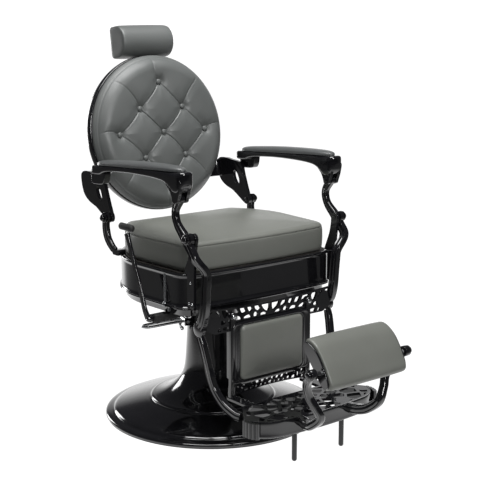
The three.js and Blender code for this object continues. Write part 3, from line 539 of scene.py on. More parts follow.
ribs = finish("ribbed_rubber", (0.006, 0.006, 0.006), (0.012, 0.012, 0.012), (0.5, 0.65), patch=60, grain=420,
              depth=0.0012, cells=True)
along = np.linspace(-0.3195, -0.2282, 92)
ribbing = 1 + 0.045 * np.cos((along + 0.32) / 0.0046 * 2 * np.pi)
block = swept("clamp_body", np.column_stack([along, np.full(92, -0.136), np.full(92, 0.386)]),
              round_box(-0.0105, 0.0105, -0.0125, 0.0125, 0.003, 4), (0, 1, 0), ribbing)
nubs = [swept("nub", [(x, -0.136, 0.3772), (x, -0.136, 0.3690)], oval(0.0050, 0.0050, 20), (1, 0, 0), dome=0.0018)
        for x in (-0.300, -0.254)]
clamp = joined("ribbed_clamp", block, *nubs)
fit(clamp, ribs, "recline_lever_body", "black_rubber", "lever_clamp_block")
rod = rod_x("recline_rod", 0.0054, -0.2600, -0.1400, -0.136, 0.386, 0.0015, 24)
fit(rod, chrome, "recline_lever_body", "chrome", "lever_rod")
fit(softened("rod_bearing", "lever_bearing", 0.0015), enamel, "seat", "black_paint", "lever_bearing")

# ---- Back -------------------------------------------------------------------------------------
# A round dish of gloss black moulding holds a buttoned foam cushion in the same grey leather, coloured
# darker as painted shade. Nine covered buttons in a diamond grid pull it in, with folds between them and out to the rim
# seam.

BACK_TILT = math.radians(8.6)


def in_back(points):
    """From the back's own frame (x across, y out of its rear, z up it) to the chair's: turned by the tilt about X."""
    p = np.asarray(points, float)
    c, s = math.cos(BACK_TILT), math.sin(BACK_TILT)
    return np.stack([p[..., 0], 0.284 + p[..., 1] * c + p[..., 2] * s, 0.864 - p[..., 1] * s + p[..., 2] * c], -1)


def placed_in_back(piece):
    """Moves a piece drawn in the back's own frame to the chair's."""
    co = np.zeros(len(piece.data.vertices) * 3)
    piece.data.vertices.foreach_get("co", co)
    piece.data.vertices.foreach_set("co", in_back(co.reshape(-1, 3)).ravel())
    piece.data.update()
    return piece


def dish(name, profile, count=160, sharp=40):
    """Closed (r, y) profile turned about the back's own Y axis."""
    r, y = np.asarray(profile, float).T
    a = np.linspace(0, 2 * np.pi, count, endpoint=False)
    rows = np.stack([r[:, None] * np.cos(a), y[:, None] + 0 * a, r[:, None] * np.sin(a)], -1)
    return shape(name, in_back(rows), skin(len(r), count, ring=True), sharp)


shell_rim = through([(0.2442, 0.0086), (0.2475, 0.0088), (0.2498, 0.0110), (0.2505, 0.0180), (0.2500, 0.0270),
                     (0.2470, 0.0345), (0.2380, 0.0410)], 40).tolist()
shell_back = [(0.215, 0.0436), (0.15, 0.0452), (0, 0.046), (0, 0.040), (0.233, 0.036), (0.2428, 0.025), (0.2412, 0.012)]
back_shell = dish("back_dish", shell_rim + shell_back, 200)
shell_black = finish("gloss_black_moulding", (0.0055, 0.0055, 0.0065), (0.008, 0.008, 0.009), (0.14, 0.20), coat=0.4,
                     patch=18, grain=200, depth=0.00015)
fit(back_shell, shell_black, "backrest", "black_shell", "back_shell")

BUTTONS = np.array([(0, 0.160), (-0.082, 0.077), (0.082, 0.077), (-0.165, 0), (0, 0), (0.165, 0), (-0.078, -0.078),
                    (0.078, -0.078), (0, -0.160)])
FOLDS = [(0, 1), (0, 2), (1, 3), (1, 4), (2, 4), (2, 5), (3, 6), (4, 6), (4, 7), (5, 7), (6, 8), (7, 8)]
RIM_FOLDS = [(0, (-0.012, 0.236)), (1, (-0.165, 0.170)), (2, (0.160, 0.175)), (3, (-0.238, 0.006)), (5, (0.238, 0.012)),
             (6, (-0.165, -0.172)), (7, (0.165, -0.172)), (8, (0.0, -0.236))]


def distance_to_fold(x, z, start, end, bow):
    """Distance to a bowed fold, a point's share of the way along it, from start to end."""
    d = np.subtract(end, start)
    length = np.hypot(*d)
    t = np.clip(((x - start[0]) * d[0] + (z - start[1]) * d[1]) / length**2, 0, 1)
    side = bow * 4 * t * (1 - t)
    px = start[0] + d[0] * t - d[1] / length * side
    pz = start[1] + d[1] * t + d[0] / length * side
    return np.hypot(x - px, z - pz), t


def tufting(x, z):
    """How far the leather is pulled in: a pit exp(-(d/w)^2) at each button, and along each fold a wide soft valley
    with a fine pinched crease in its middle. Rim folds fade as they near the seam."""
    depth = np.zeros_like(x)
    near = np.min([np.hypot(x - bx, z - bz) for bx, bz in BUTTONS], axis=0)
    valley, crease = np.zeros_like(x), np.zeros_like(x)
    for i, (a, b) in enumerate(FOLDS):
        d, t = distance_to_fold(x, z, BUTTONS[a], BUTTONS[b], 0.0028 * (-1) ** i)
        valley = np.maximum(valley, np.exp(-((d / 0.020) ** 2)))
        crease = np.maximum(crease, np.exp(-((d / 0.0021) ** 2)))
    for i, (a, end) in enumerate(RIM_FOLDS):
        d, t = distance_to_fold(x, z, BUTTONS[a], end, 0.010 * (-1) ** i)
        fade = 1 - 0.75 * t
        valley = np.maximum(valley, fade * np.exp(-((d / (0.013 + 0.006 * t)) ** 2)))
        crease = np.maximum(crease, np.sqrt(fade) * np.exp(-((d / 0.0021) ** 2)))
    depth = 0.0052 * valley + 0.0030 * crease
    pit = 0.0115 * np.exp(-((near / 0.0150) ** 2)) + 0.0045 * np.exp(-((near / 0.040) ** 2))
    return depth * (1 - 0.5 * np.exp(-((near / 0.012) ** 2))) + pit


def back_face(r):
    """Depth of the untufted cushion face at radius r: nearly flat, rolling over to the rim."""
    share = np.clip(r / 0.2455, 0, 1)
    return -0.0455 + 0.0080 * share**2 + 0.0330 * np.clip((share - 0.80) / 0.20, 0, 1) ** 2.3


turn = np.linspace(0, 2 * np.pi, 640, endpoint=False)
radii = np.concatenate([np.linspace(0.0006, 0.232, 122), np.linspace(0.2332, 0.2450, 12)])
r_grid, a_grid = np.meshgrid(radii, turn, indexing="ij")
xs, zs = r_grid * np.cos(a_grid), r_grid * np.sin(a_grid)
seam = 0.0016 * np.exp(-(((r_grid - 0.2365) / 0.0016) ** 2))
rim_fade = np.clip((0.2430 - r_grid) / 0.030, 0, 1)
front = np.stack([xs, back_face(r_grid) + tufting(xs, zs) * rim_fade + seam, zs], -1)
wall = [(0.2462, -0.0025), (0.2468, 0.0020), (0.2462, 0.0060), (0.2430, 0.0078)]
sides = [np.stack([r * np.cos(turn), np.full(len(turn), y), r * np.sin(turn)], -1) for r, y in wall]
cover_rows = np.vstack([front, np.array(sides)])
back_cover = shape("tufted_back", in_back(cover_rows), skin(len(cover_rows), len(turn)), 70)
# Painted shade: the seat's grey leather made darker for the upright back, its buttons and the headrest pillow, where
# less light falls on them.
shaded_back_leather = finish("shaded_back_leather", (0.104, 0.110, 0.107), (0.118, 0.124, 0.121), (0.38, 0.48), patch=8, grain=620,
                      depth=0.00022, cells=True)
fit(back_cover, shaded_back_leather, "backrest", "grey_upholstery", "back_cushion")


def covered_button(x, z, floor):
    """A domed button of radius 9.5 mm, its rim tucked into the pit."""
    profile = np.array([(0.0003, -0.0056), (0.0030, -0.0054), (0.0058, -0.0044), (0.0080, -0.0026), (0.0092, -0.0002),
                        (0.0094, 0.0020), (0.0086, 0.0040), (0.0003, 0.0044)])
    a = np.linspace(0, 2 * np.pi, 28, endpoint=False)
    r, y = profile[:, :1], profile[:, 1:]
    rows = np.stack([x + r * np.cos(a), floor + y + 0 * a, z + r * np.sin(a)], -1)
    return shape("button", in_back(rows), skin(len(profile), 28))


floors = back_face(np.hypot(*BUTTONS.T)) + 0.0150
buttons = joined("covered_buttons", *[covered_button(x, z, f) for (x, z), f in zip(BUTTONS, floors)])
fit(buttons, shaded_back_leather, "backrest", "grey_upholstery")

# ---- Back brackets ----------------------------------------------------------------------------
# A cast arm each side runs from the rear of the dish to the seat pivot and on to the armrest pin,
# lightened by a slanting oval hole. Gloss black.

def inside_by(u, v, line):
    """Distance from (u, v) to a closed line, positive inside it."""
    a = np.asarray(line, float)
    e = np.roll(a, -1, 0) - a
    p = np.stack([u.ravel(), v.ravel()], -1)
    best, hits = np.full(len(p), 1e9), np.zeros(len(p), int)
    for (ax, ay), (ex, ey) in zip(a, e):
        t = np.clip(((p[:, 0] - ax) * ex + (p[:, 1] - ay) * ey) / (ex * ex + ey * ey + 1e-18), 0, 1)
        best = np.minimum(best, np.hypot(p[:, 0] - ax - t * ex, p[:, 1] - ay - t * ey))
        crosses = (ay > p[:, 1]) != (ay + ey > p[:, 1])
        hits += crosses & (p[:, 0] < ex * (p[:, 1] - ay) / (ey if ey else 1e-12) + ax)
    return (best * np.where(hits % 2 == 1, 1, -1)).reshape(u.shape)


def sheet_of(name, field, u_range, v_range, cell, place, thick, bevel):
    """Sheet where field(u, v) > 0 on a grid. Its border points slide by -f grad f / |grad f|^2 on to f = 0, and
    place(u, v) puts it in space. Solidify gives it its thickness and Bevel rounds its edges."""
    u, v = np.meshgrid(np.arange(*u_range, cell), np.arange(*v_range, cell), indexing="ij")
    f = field(u, v)
    keep = (f[:-1, :-1] + f[1:, :-1] + f[:-1, 1:] + f[1:, 1:]) > 0
    used = np.zeros((u.shape[0] + 1, u.shape[1] + 1), int)
    used[1:-1, 1:-1] = keep
    touch = used[:-1, :-1] + used[1:, :-1] + used[:-1, 1:] + used[1:, 1:]
    border = (touch > 0) & (touch < 4)
    for _ in range(4):
        h = cell * 0.1
        f = field(u, v)
        gu, gv = (field(u + h, v) - f) / h, (field(u, v + h) - f) / h
        size = gu**2 + gv**2 + 1e-6
        du, dv = -f * gu / size, -f * gv / size
        reach = np.maximum(np.hypot(du, dv) / (0.45 * cell), 1)
        u, v = np.where(border, u + du / reach, u), np.where(border, v + dv / reach, v)
    i, j = np.nonzero(keep)
    columns = u.shape[1]
    quads = np.stack([i * columns + j, (i + 1) * columns + j, (i + 1) * columns + j + 1, i * columns + j + 1], -1)
    points = place(u.ravel(), v.ravel())
    order = np.unique(quads)
    index = np.zeros(len(points), int)
    index[order] = np.arange(len(order))
    piece = shape(name, points[order], index[quads].tolist(), 180)
    wall = piece.modifiers.new("wall", "SOLIDIFY")
    wall.thickness, wall.offset = thick, 0
    return edge_round(piece, bevel, 50, 2)


bracket_edge = through([
    (-0.1040, -0.2500), (-0.0900, -0.2630), (-0.0720, -0.2540), (-0.0500, -0.2360), (-0.0200, -0.2135), (0.0110, -0.1985),
    (0.0370, -0.1780), (0.0490, -0.1520), (0.0500, -0.1130), (0.0340, -0.1010), (0.0060, -0.1020), (-0.0240, -0.1095),
    (-0.0600, -0.1190), (-0.0790, -0.1300), (-0.0840, -0.1600), (-0.0940, -0.2050),
], 90, closed=True)


def bracket_field(u, v):
    """Bracket outline joined to its two bosses, less the slanting oval hole and the pivot hole."""
    plan = inside_by(u, v, bracket_edge)
    boss = np.maximum(0.0162 - np.hypot(u + 0.0902, v + 0.2462), 0.0132 - np.hypot(u + 0.0668, v + 0.1335))
    c, s = math.cos(-0.35), math.sin(-0.35)
    a, b = (u + 0.046) * c + (v + 0.172) * s, -(u + 0.046) * s + (v + 0.172) * c
    hole = (np.hypot(a / 0.0125, b / 0.0255) - 1) * 0.0125
    return np.minimum(np.maximum(plan, boss), hole)


bracket_wing = sheet_of("wing", bracket_field, (-0.112, 0.060), (-0.272, -0.090), 0.0022,
                        lambda u, v: in_back(np.column_stack([np.full(u.size, 0.268), u, v])), 0.0115, 0.0022)
both_sides(bracket_wing, "back_bracket_wing", enamel, "backrest", "black_paint", "back_bracket")
elbow_turn = np.linspace(0, np.pi / 2, 14)
foot_path = np.vstack([
    [(0.1775, 0.0518), (0.2050, 0.0518), (0.2330, 0.0518)],
    np.column_stack([0.2510 + 0.0150 * np.sin(elbow_turn), 0.0368 + 0.0150 * np.cos(elbow_turn)]),
    [(0.2660, 0.0300)],
])
foot_rows = np.column_stack([foot_path, np.full(len(foot_path), -0.135)])
bracket_foot = placed_in_back(swept("foot", foot_rows, round_box(-0.0052, 0.0052, -0.0285, 0.0285, 0.003, 5), (0, 0, 1)))
both_sides(bracket_foot, "back_bracket_foot", enamel, "backrest", "black_paint")
arm_pin = placed_in_back(rod_x("pin", 0.0060, 0.2700, 0.2908, -0.0668, -0.1335, 0.001, 24))
both_sides(arm_pin, "armrest_rear_pin", steel, "backrest", "machined_steel")

# ---- Headrest ---------------------------------------------------------------------------------
# A flat steel post slides in a socket on the dish and cranks back to a hinge. The pillow is half
# round with flat ends, leather over foam, with a seam round each end.

def pillow_section(count=150):
    """Closed outline in (y, z): half an ellipse in front, flat behind with rounded corners."""
    half = np.linspace(0.5 * np.pi, 1.5 * np.pi, 60)
    nose = np.stack([0.048 + 0.048 * np.cos(half), 0.297 + 0.051 * np.sin(half)], -1)
    low = np.linspace(-0.5 * np.pi, 0, 12)
    base = np.stack([0.072 + 0.012 * np.cos(low), 0.258 + 0.012 * np.sin(low)], -1)
    high = np.linspace(0, 0.5 * np.pi, 12)
    top = np.stack([0.072 + 0.012 * np.cos(high), 0.336 + 0.012 * np.sin(high)], -1)
    line = np.vstack([nose, base, top])
    line = np.vstack([line, line[:1]])
    run = np.concatenate([[0], np.cumsum(np.linalg.norm(np.diff(line, axis=0), axis=1))])
    at = np.linspace(0, run[-1], count, endpoint=False)
    return np.stack([np.interp(at, run, line[:, 0]), np.interp(at, run, line[:, 1])], -1)


pillow_line = pillow_section()
END_ROWS = [(0.0962, 0.30), (0.0964, 0.55), (0.0963, 0.75), (0.0958, 0.88), (0.0950, 0.950), (0.0936, 0.980),
            (0.0918, 0.9880), (0.0900, 0.9940), (0.0870, 1.004), (0.0825, 1.012), (0.0760, 1.018), (0.0640, 1.024),
            (0.0450, 1.028), (0.0220, 1.030)]
heart = np.array([0.046, 0.296])
stations = [(-x, s) for x, s in END_ROWS] + [(0.0, 1.031)] + [(x, s) for x, s in reversed(END_ROWS)]
pillow_rows = []
for x, s in stations:
    swell = heart + (pillow_line - heart) * s
    swell[:, 0] = np.minimum(swell[:, 0], 0.0840)
    pillow_rows.append(np.column_stack([np.full(len(swell), x), swell]))
pillow = placed_in_back(shape("headrest_pillow", np.array(pillow_rows), skin(len(stations), len(pillow_line)), 60))
# The pillow takes the back's darker leather: painted shade.
fit(pillow, shaded_back_leather, "headrest", "grey_upholstery", "headrest_cushion")
post_line = through([(0.054, 0.060), (0.054, 0.130), (0.054, 0.194), (0.062, 0.217), (0.085, 0.230), (0.101, 0.246),
                     (0.104, 0.268), (0.104, 0.292)], 70)
post_rows = np.column_stack([np.zeros(70), post_line])
post = joined("headrest_slide_post",
              placed_in_back(swept("stem", post_rows, round_box(-0.0040, 0.0040, -0.018, 0.018, 0.0014, 4), (1, 0, 0))),
              placed_in_back(rod_x("knuckle", 0.0090, -0.018, 0.018, 0.104, 0.296, 0.001, 28)))
fit(post, enamel, "headrest_slider", "black_paint", "headrest_post")
hinge_pin = placed_in_back(rod_x("headrest_pin", 0.0040, -0.030, 0.030, 0.104, 0.296, 0.0008, 20))
fit(hinge_pin, steel, "headrest_slider", "machined_steel", "headrest_hinge_pin")
fit(softened("headrest_back_plate", "headrest_plate", 0.0012), enamel, "headrest", "black_paint", "headrest_plate")
fit(softened("headrest_slide_socket", "headrest_socket", 0.0015), enamel, "backrest", "black_paint", "headrest_socket")

# ---- Leg frame --------------------------------------------------------------------------------
# Fluted cast posts come down from the armrest pins, past the seat pivots, and turn in beside the
# seat to bosses that carry pierced panels, the framed calf pad and the rails of the platform.

post_run = through([(-0.230, 0.742), (-0.207, 0.706), (-0.215, 0.670), (-0.249, 0.637), (-0.272, 0.612), (-0.293, 0.585),
                    (-0.299, 0.550), (-0.293, 0.480), (-0.288, 0.430), (-0.279, 0.396), (-0.266, 0.374)], 150)
ease = np.clip((post_run[:, 1] - 0.530) / 0.060, 0, 1)
post_x = 0.245 + 0.038 * ease**2 * (3 - 2 * ease)
post_grow = np.interp(np.linspace(0, 1, 150), [0, 0.08, 0.2, 0.3, 0.42, 0.7, 0.92, 1], [0.95, 0.85, 0.85, 1.05, 1.0, 1.05, 1.1, 1.0])
fluted = swept("fluted", np.column_stack([post_x, post_run]), strap_section(0.0132, 0.0086, 0.0021, 0.0030), (1, 0, 0),
               post_grow)
front_post = joined(
    "front",
    fluted,
    rod_x("pivot_boss", 0.0165, 0.2750, 0.2910, FRONT_Y, PIVOT_Z, 0.0020),
    rod_x("arm_boss", 0.0135, 0.2752, 0.2910, -0.230, 0.742, 0.0020),
    rod_x("low_boss", 0.0220, 0.2368, 0.2530, -0.263, 0.368, 0.0030),
    rod_x("arm_pin", 0.0060, 0.2590, 0.2770, -0.230, 0.742, 0.0008, 24),
)
both_sides(front_post, "fluted_post", enamel, "leg_frame", "black_paint", "front_post")


def scroll_net(seed, spots, stroke, lean):
    """Openwork field: positive within stroke / 2 of the lines halfway between neighbouring spots. Distances are
    measured in a frame leaned by lean, so the openings slant; the spots are mirrored about x = 0."""
    rng = np.random.default_rng(seed)
    spots = np.array(spots) + rng.uniform(-1, 1, (len(spots), 2)) * (0.0062, 0.0050)
    spots = np.vstack([spots[spots[:, 0] > 0.004], spots[spots[:, 0] > 0.004] * (-1, 1), spots[np.abs(spots[:, 0]) <= 0.004] * (0, 1)])

    def field(u, v):
        near = np.full(u.shape, 1e9)
        second = np.full(u.shape, 1e9)
        for x, y in spots:
            slant = lean * np.sign(x)
            a, b = (u - x) - slant * (v - y), (v - y)
            d = np.hypot(a, b)
            second = np.minimum(second, np.maximum(near, d))
            near = np.minimum(near, d)
        return stroke / 2 - (second - near) / 2

    return field


def openwork(outline, border, net, solids=()):
    """Material inside the outline where it is border, net line or one of the solid discs (x, y, radius)."""
    def field(u, v):
        plan = inside_by(u, v, outline)
        line = np.maximum(border - plan, net(u, v))
        for x, y, r in solids:
            line = np.maximum(line, r - np.hypot(u - x, v - y))
        return np.minimum(plan, line)

    return field


upper_outline = np.array([
    (-0.2366, 0.424), (-0.2366, 0.366), (-0.206, 0.350), (-0.1516, 0.350), (-0.1516, 0.3726), (0.1516, 0.3726),
    (0.1516, 0.350), (0.206, 0.350), (0.2366, 0.366), (0.2366, 0.424), (0.180, 0.4205), (0.120, 0.4172),
    (0.060, 0.4155), (0.0, 0.415), (-0.060, 0.4155), (-0.120, 0.4172), (-0.180, 0.4205),
])
rows_up = [(0.383, 0.0), (0.404, 0.015)]
upper_spots = [(x + shift, z) for z, shift in rows_up for x in np.arange(0.0, 0.25, 0.0300)]
upper_spots += [(x, 0.362) for x in (0.165, 0.190, 0.215)]
upper_panel = sheet_of("pierced_upper_panel",
                       openwork(upper_outline, 0.0050, scroll_net(11, upper_spots, 0.0085, 0.55),
                                [(side * x, z, r) for side in (-1, 1)
                                 for x, z, r in ((0.144, 0.394, 0.0125), (0.214, 0.384, 0.0300))]),
                       (-0.2400, 0.2401), (0.3480, 0.4261), 0.0016,
                       lambda u, v: np.column_stack([u, np.full(u.size, -0.280), v]), 0.0078, 0.0009)
fit(upper_panel, enamel, "leg_frame", "black_paint", "upper_leg_panel")

arch = quadratic((-0.1366, 0.154), (0, 0.168), (0.1366, 0.154), 30)
lower_outline = np.vstack([arch, [(0.1366, 0.1876), (-0.1366, 0.1876)]])
lower_spots = [(x + shift, z) for z, shift in ((0.166, 0.0), (0.182, 0.009)) for x in np.arange(0.0, 0.145, 0.0185)]
lower_panel = sheet_of("pierced_lower_panel", openwork(lower_outline, 0.0036, scroll_net(5, lower_spots, 0.0050, 0.45)),
                       (-0.1390, 0.1391), (0.1520, 0.1901), 0.0014,
                       lambda u, v: np.column_stack([u, np.full(u.size, -0.280), v]), 0.0078, 0.0008)
fit(lower_panel, enamel, "leg_frame", "black_paint", "lower_leg_panel")

# The calf pad: a moulded frame with rounded inner corners, tall side stiles and a bright screw at
# the top of each, round a plain grey pad.


def ring_rows(outer, inner, levels):
    """Rows of one hollow frame: outer and inner loops of equal length at (depth, outer inset, inner inset)."""
    rows = [np.column_stack([offset(outer, -o)[:, 0], np.full(len(outer), y), offset(outer, -o)[:, 1]]) for y, o in levels[0]]
    rows += [np.column_stack([offset(inner, i)[:, 0], np.full(len(inner), y), offset(inner, i)[:, 1]]) for y, i in levels[1]]
    return np.array(rows)


def even_box(x0, x1, z0, z1, r, count=240):
    """Rounded rectangle, its points matched by angle round the middle."""
    line = round_box(x0, x1, z0, z1, r, 14)
    line = np.vstack([line, line[:1]])
    centre = ((x0 + x1) / 2, (z0 + z1) / 2)
    dense = np.vstack([a + (b - a) * np.linspace(0, 1, 40, endpoint=False)[:, None] for a, b in zip(line, line[1:])])
    angle = np.unwrap(np.arctan2(dense[:, 1] - centre[1], dense[:, 0] - centre[0]))
    at = angle[0] + np.linspace(0, 2 * np.pi, count, endpoint=False)
    wrapped = np.append(angle, angle[0] + 2 * np.pi), np.vstack([dense, dense[:1]])
    return np.stack([np.interp(at, wrapped[0], wrapped[1][:, k]) for k in (0, 1)], -1)


frame_out, frame_in = even_box(-0.151, 0.151, 0.188, 0.3722, 0.020), even_box(-0.119, 0.119, 0.197, 0.362, 0.017)
surround = shape("frame_ring", ring_rows(frame_out, frame_in, (
    [(-0.2670, 0.001), (-0.2665, 0.003), (-0.2668, 0.0003), (-0.2680, 0), (-0.2860, 0), (-0.2892, 0.0012), (-0.2908, 0.004), (-0.2900, 0.0075)],
    [(-0.2884, 0.0125), (-0.2898, 0.0090), (-0.2912, 0.0050), (-0.2905, 0.0016), (-0.2880, 0.0), (-0.2700, 0)],
)), skin(14, 240, ring=True), 60)
back_panel = plate("frame_back", even_box(-0.128, 0.128, 0.190, 0.370, 0.018), -0.2735, -0.2672, 0.001, "XZ")
stile_section = strap_section(0.0086, 0.0070, 0.0018, 0.0028)
stiles = []
for side in (-1, 1):
    stile_line = through([(side * 0.1440, -0.2830, 0.402), (side * 0.1440, -0.2830, 0.300), (side * 0.1440, -0.2830, 0.200),
                          (side * 0.1450, -0.2815, 0.170), (side * 0.1455, -0.2810, 0.1506)], 60)
    stiles.append(swept("stile", stile_line, stile_section[:, ::-1], (1, 0, 0)))
frame_body = joined("calf_pad_frame", surround, *stiles)
fit(frame_body, enamel, "leg_frame", "black_paint", "leg_pad_frame")
fit(back_panel, enamel, "leg_frame", "black_paint")

screw_pair = []
for side in (-1, 1):
    lobe = np.linspace(0, 2 * np.pi, 30, endpoint=False)
    for radius, y0, y1 in ((0.0118, -0.2840, -0.2925), (0.0062, -0.2920, -0.2958)):
        rings = [(radius, y0), (radius, y1 * 0.8 + y0 * 0.2), (radius * 0.88, y1), (radius * 0.45, y1 - 0.0006), (0.0002, y1 - 0.0008)]
        rows = [np.stack([side * 0.144 + r * np.cos(lobe), np.full(30, y), 0.394 + r * np.sin(lobe)], -1) for r, y in rings]
        screw_pair.append(shape("head", np.array(rows), skin(len(rings), 30)))
bosses = joined("panel_bosses", screw_pair[0], screw_pair[2])
fit(bosses, enamel, "leg_frame", "black_paint")
heads = joined("panel_screws", screw_pair[1], screw_pair[3])
fit(heads, screw, "leg_frame", "machined_steel")

pad_line = even_box(-0.1185, 0.1185, 0.1975, 0.3615, 0.016)
PAD_SECTION = [(-0.2742, 0.0020), (-0.2745, 0.0), (-0.2850, -0.0003), (-0.2905, 0.0004), (-0.2938, 0.0022), (-0.2962, 0.0056),
               (-0.2978, 0.0108)]
pad_rows = [np.column_stack([offset(pad_line, -i)[:, 0], np.full(240, y), offset(pad_line, -i)[:, 1]]) for y, i in PAD_SECTION]
pad_edge, pad_middle = offset(pad_line, -0.0108), np.array([0.0, 0.2795])
for share in np.linspace(0.96, 0.0, 26):
    loop = pad_middle + (pad_edge - pad_middle) * share
    pad_rows.append(np.column_stack([loop[:, 0], np.full(240, -0.2978 - 0.0050 * (1 - share**2.4)), loop[:, 1]]))
calf_pad = shape("calf_pad", np.array(pad_rows), skin(len(pad_rows), 240), 60)
fit(calf_pad, leather, "leg_frame", "grey_upholstery", "leg_pad")

# ---- Platform ---------------------------------------------------------------------------------
# Fluted rails drop from the feet of the posts and sweep forward to a broad, shallow cast platform:
# an openwork deck on a deep rim, fluted blocks at its side points, and two round rods beneath.

rail_run = through([(0.2440, -0.265, 0.3455), (0.2410, -0.276, 0.318), (0.2360, -0.289, 0.268), (0.2310, -0.298, 0.226),
                    (0.2260, -0.314, 0.190), (0.2210, -0.346, 0.160), (0.2150, -0.384, 0.143), (0.2075, -0.400, 0.138)], 110)
rail_grow = np.interp(np.linspace(0, 1, 110), [0, 0.1, 0.5, 0.8, 1], [0.9, 1.0, 1.05, 1.1, 1.0])
rail = swept("rail", rail_run, strap_section(0.0118, 0.0084, 0.0022, 0.0030), (1, 0, 0), rail_grow)
both_sides(rail, "fluted_rail", enamel, "leg_frame", "black_paint", "leg_rail")

rear_bow = quadratic((0.234, -0.452), (0.200, -0.400), (0.170, -0.362), 24)
tip_bow = quadratic((0.160, -0.519), (0.215, -0.509), (0.234, -0.452), 24)
nose_bow = quadratic((-0.160, -0.519), (0, -0.541), (0.160, -0.519), 40)
half_outline = np.vstack([tip_bow[1:], rear_bow[1:]])
deck_outline = np.vstack([nose_bow, half_outline, half_outline[::-1] * (-1, 1)])
rosette = [(0.0, -0.444)]
for ring_radius, petals, start in ((0.030, 6, 0.5), (0.062, 10, 0.0), (0.100, 14, 0.5), (0.145, 14, 0.0), (0.195, 16, 0.5)):
    turns = (np.arange(petals) + start) / petals * 2 * np.pi
    rosette += [(ring_radius * math.cos(t) * 1.10, -0.444 + ring_radius * math.sin(t) * 0.74) for t in turns]
tip_solids = [(side * x, y, r) for side in (-1, 1) for x, y, r in ((0.214, -0.455, 0.024), (0.092, -0.498, 0.020))]
deck = sheet_of("openwork_deck", openwork(deck_outline, 0.0095, scroll_net(3, rosette, 0.0078, 0.0), tip_solids),
                (-0.2400, 0.2401), (-0.5340, -0.3559), 0.0021,
                lambda u, v: np.column_stack([u, v, np.full(u.size, 0.1455)]), 0.0085, 0.0010)
fit(deck, enamel, "leg_frame", "black_paint", "foot_platform")
SKIRT = [(-0.0064, 0.1028), (-0.0056, 0.1020), (-0.0016, 0.1020), (-0.0002, 0.1032), (0.0008, 0.1060), (0.0000, 0.1090),
         (0.0000, 0.1330), (0.0010, 0.1365), (0.0012, 0.1460), (0.0002, 0.1496), (-0.0030, 0.1500), (-0.0064, 0.1480)]
skirt_rows = [np.column_stack([offset(deck_outline, g), np.full(len(deck_outline), z)]) for g, z in SKIRT]
skirt = shape("platform_rim", np.array(skirt_rows), skin(len(SKIRT), len(deck_outline), ring=True), 50)
fit(skirt, enamel, "leg_frame", "black_paint")
for label, side in (("left", 1), ("right", -1)):
    block_line = round_box(side * 0.090 - 0.0130, side * 0.090 + 0.0130, -0.5160, -0.4790, 0.004)
    block = plate(f"rod_block_{label}", block_line, 0.0980, 0.1475, 0.0015, "XY")
    fit(block, enamel, "leg_frame", "black_paint")
    tab = plate(f"stile_tab_{label}", round_box(side * 0.1410 - 0.0150, side * 0.1410 + 0.0150, -0.3720, -0.2680, 0.005),
                0.1410, 0.1498, 0.0012, "XY")
    fit(tab, enamel, "leg_frame", "black_paint")
    flutes = []
    for turn_at in np.radians((-44, -30, -16, -2, 12)):
        at = (side * (0.1965 + 0.0390 * math.cos(turn_at)), -0.4640 + 0.0470 * math.sin(turn_at))
        flutes.append(swept("flute", [(at[0], at[1], 0.1045), (at[0], at[1], 0.1490)], oval(0.0062, 0.0062, 18), (1, 0, 0)))
    fit(joined(f"fluted_corner_{label}", *flutes), enamel, "leg_frame", "black_paint")

rod_shank = swept("shank", [(0.090, -0.497, 0.0977), (0.090, -0.497, 0.0155)], oval(0.0074, 0.0074, 28), (1, 0, 0),
                  dome=0.0072)
both_sides(rod_shank, "platform_rod", under, "leg_frame", "black_paint", "step_rod")

# ---- Foot pad and its arms --------------------------------------------------------------------
# Two round cast arms curl up from the platform's front corners and end in capped pivots. Between
# them hangs a curved pad that flips over: padded leather on one face, a thin backing on the other.

arm_run = through([(0.0900, -0.524, 0.136), (0.0930, -0.540, 0.136), (0.1010, -0.564, 0.138), (0.1090, -0.590, 0.148),
                   (0.1120, -0.625, 0.178), (0.1310, -0.623, 0.214), (0.1450, -0.616, 0.245), (0.1630, -0.628, 0.284),
                   (0.1760, -0.660, 0.320)], 120)
arm_grow = np.interp(np.linspace(0, 1, 120), [0, 0.15, 0.4, 0.6, 0.85, 1], [1.15, 1.22, 1.12, 0.95, 0.92, 0.85])
arm_section = strap_section(0.0122, 0.0108, 0.0016, 0.0060)
s_arm = joined("s_arm",
               swept("limb", arm_run, arm_section, (1, 0, 0), arm_grow),
               rod_x("pad_boss", 0.0152, 0.1640, 0.1862, -0.660, 0.320, 0.0025),
               rod_x("pad_cap", 0.0102, 0.1840, 0.1942, -0.660, 0.320, 0.0040))
both_sides(s_arm, "curled_arm", enamel, "leg_frame", "black_paint", "foot_arm")

crown = through([(-0.597, 0.382), (-0.596, 0.397), (-0.614, 0.399), (-0.642, 0.384), (-0.670, 0.350), (-0.691, 0.314),
                 (-0.701, 0.290), (-0.693, 0.277), (-0.680, 0.284)], 110)
flat_back = through([(-0.680, 0.284), (-0.640, 0.331), (-0.597, 0.382)], 50)[1:-1]
pad_outline = np.vstack([crown, flat_back])
pad_core = np.array([-0.646, 0.338])
FLIP_ROWS = [(0.1408, 0.55), (0.1410, 0.80), (0.1406, 0.90), (0.1394, 0.955), (0.1372, 0.980), (0.1340, 0.992),
             (0.1290, 1.000), (0.1180, 1.006), (0.0950, 1.012), (0.0600, 1.016), (0.0250, 1.018)]
flip_stations = [(-x, s) for x, s in FLIP_ROWS] + [(0.0, 1.018)] + [(x, s) for x, s in reversed(FLIP_ROWS)]
flip_rows = []
slope = np.array([0.644, 0.765])
out = np.array([slope[1], -slope[0]])
for x, s in flip_stations:
    loop = pad_core + (pad_outline - pad_core) * s
    depth = (loop - (-0.680, 0.284)) @ out
    loop = loop - np.maximum(depth, 0)[:, None] * out
    flip_rows.append(np.column_stack([np.full(len(loop), x), loop]))
flip_pad = shape("flip_pad", np.array(flip_rows), skin(len(flip_rows), len(pad_outline)), 60)
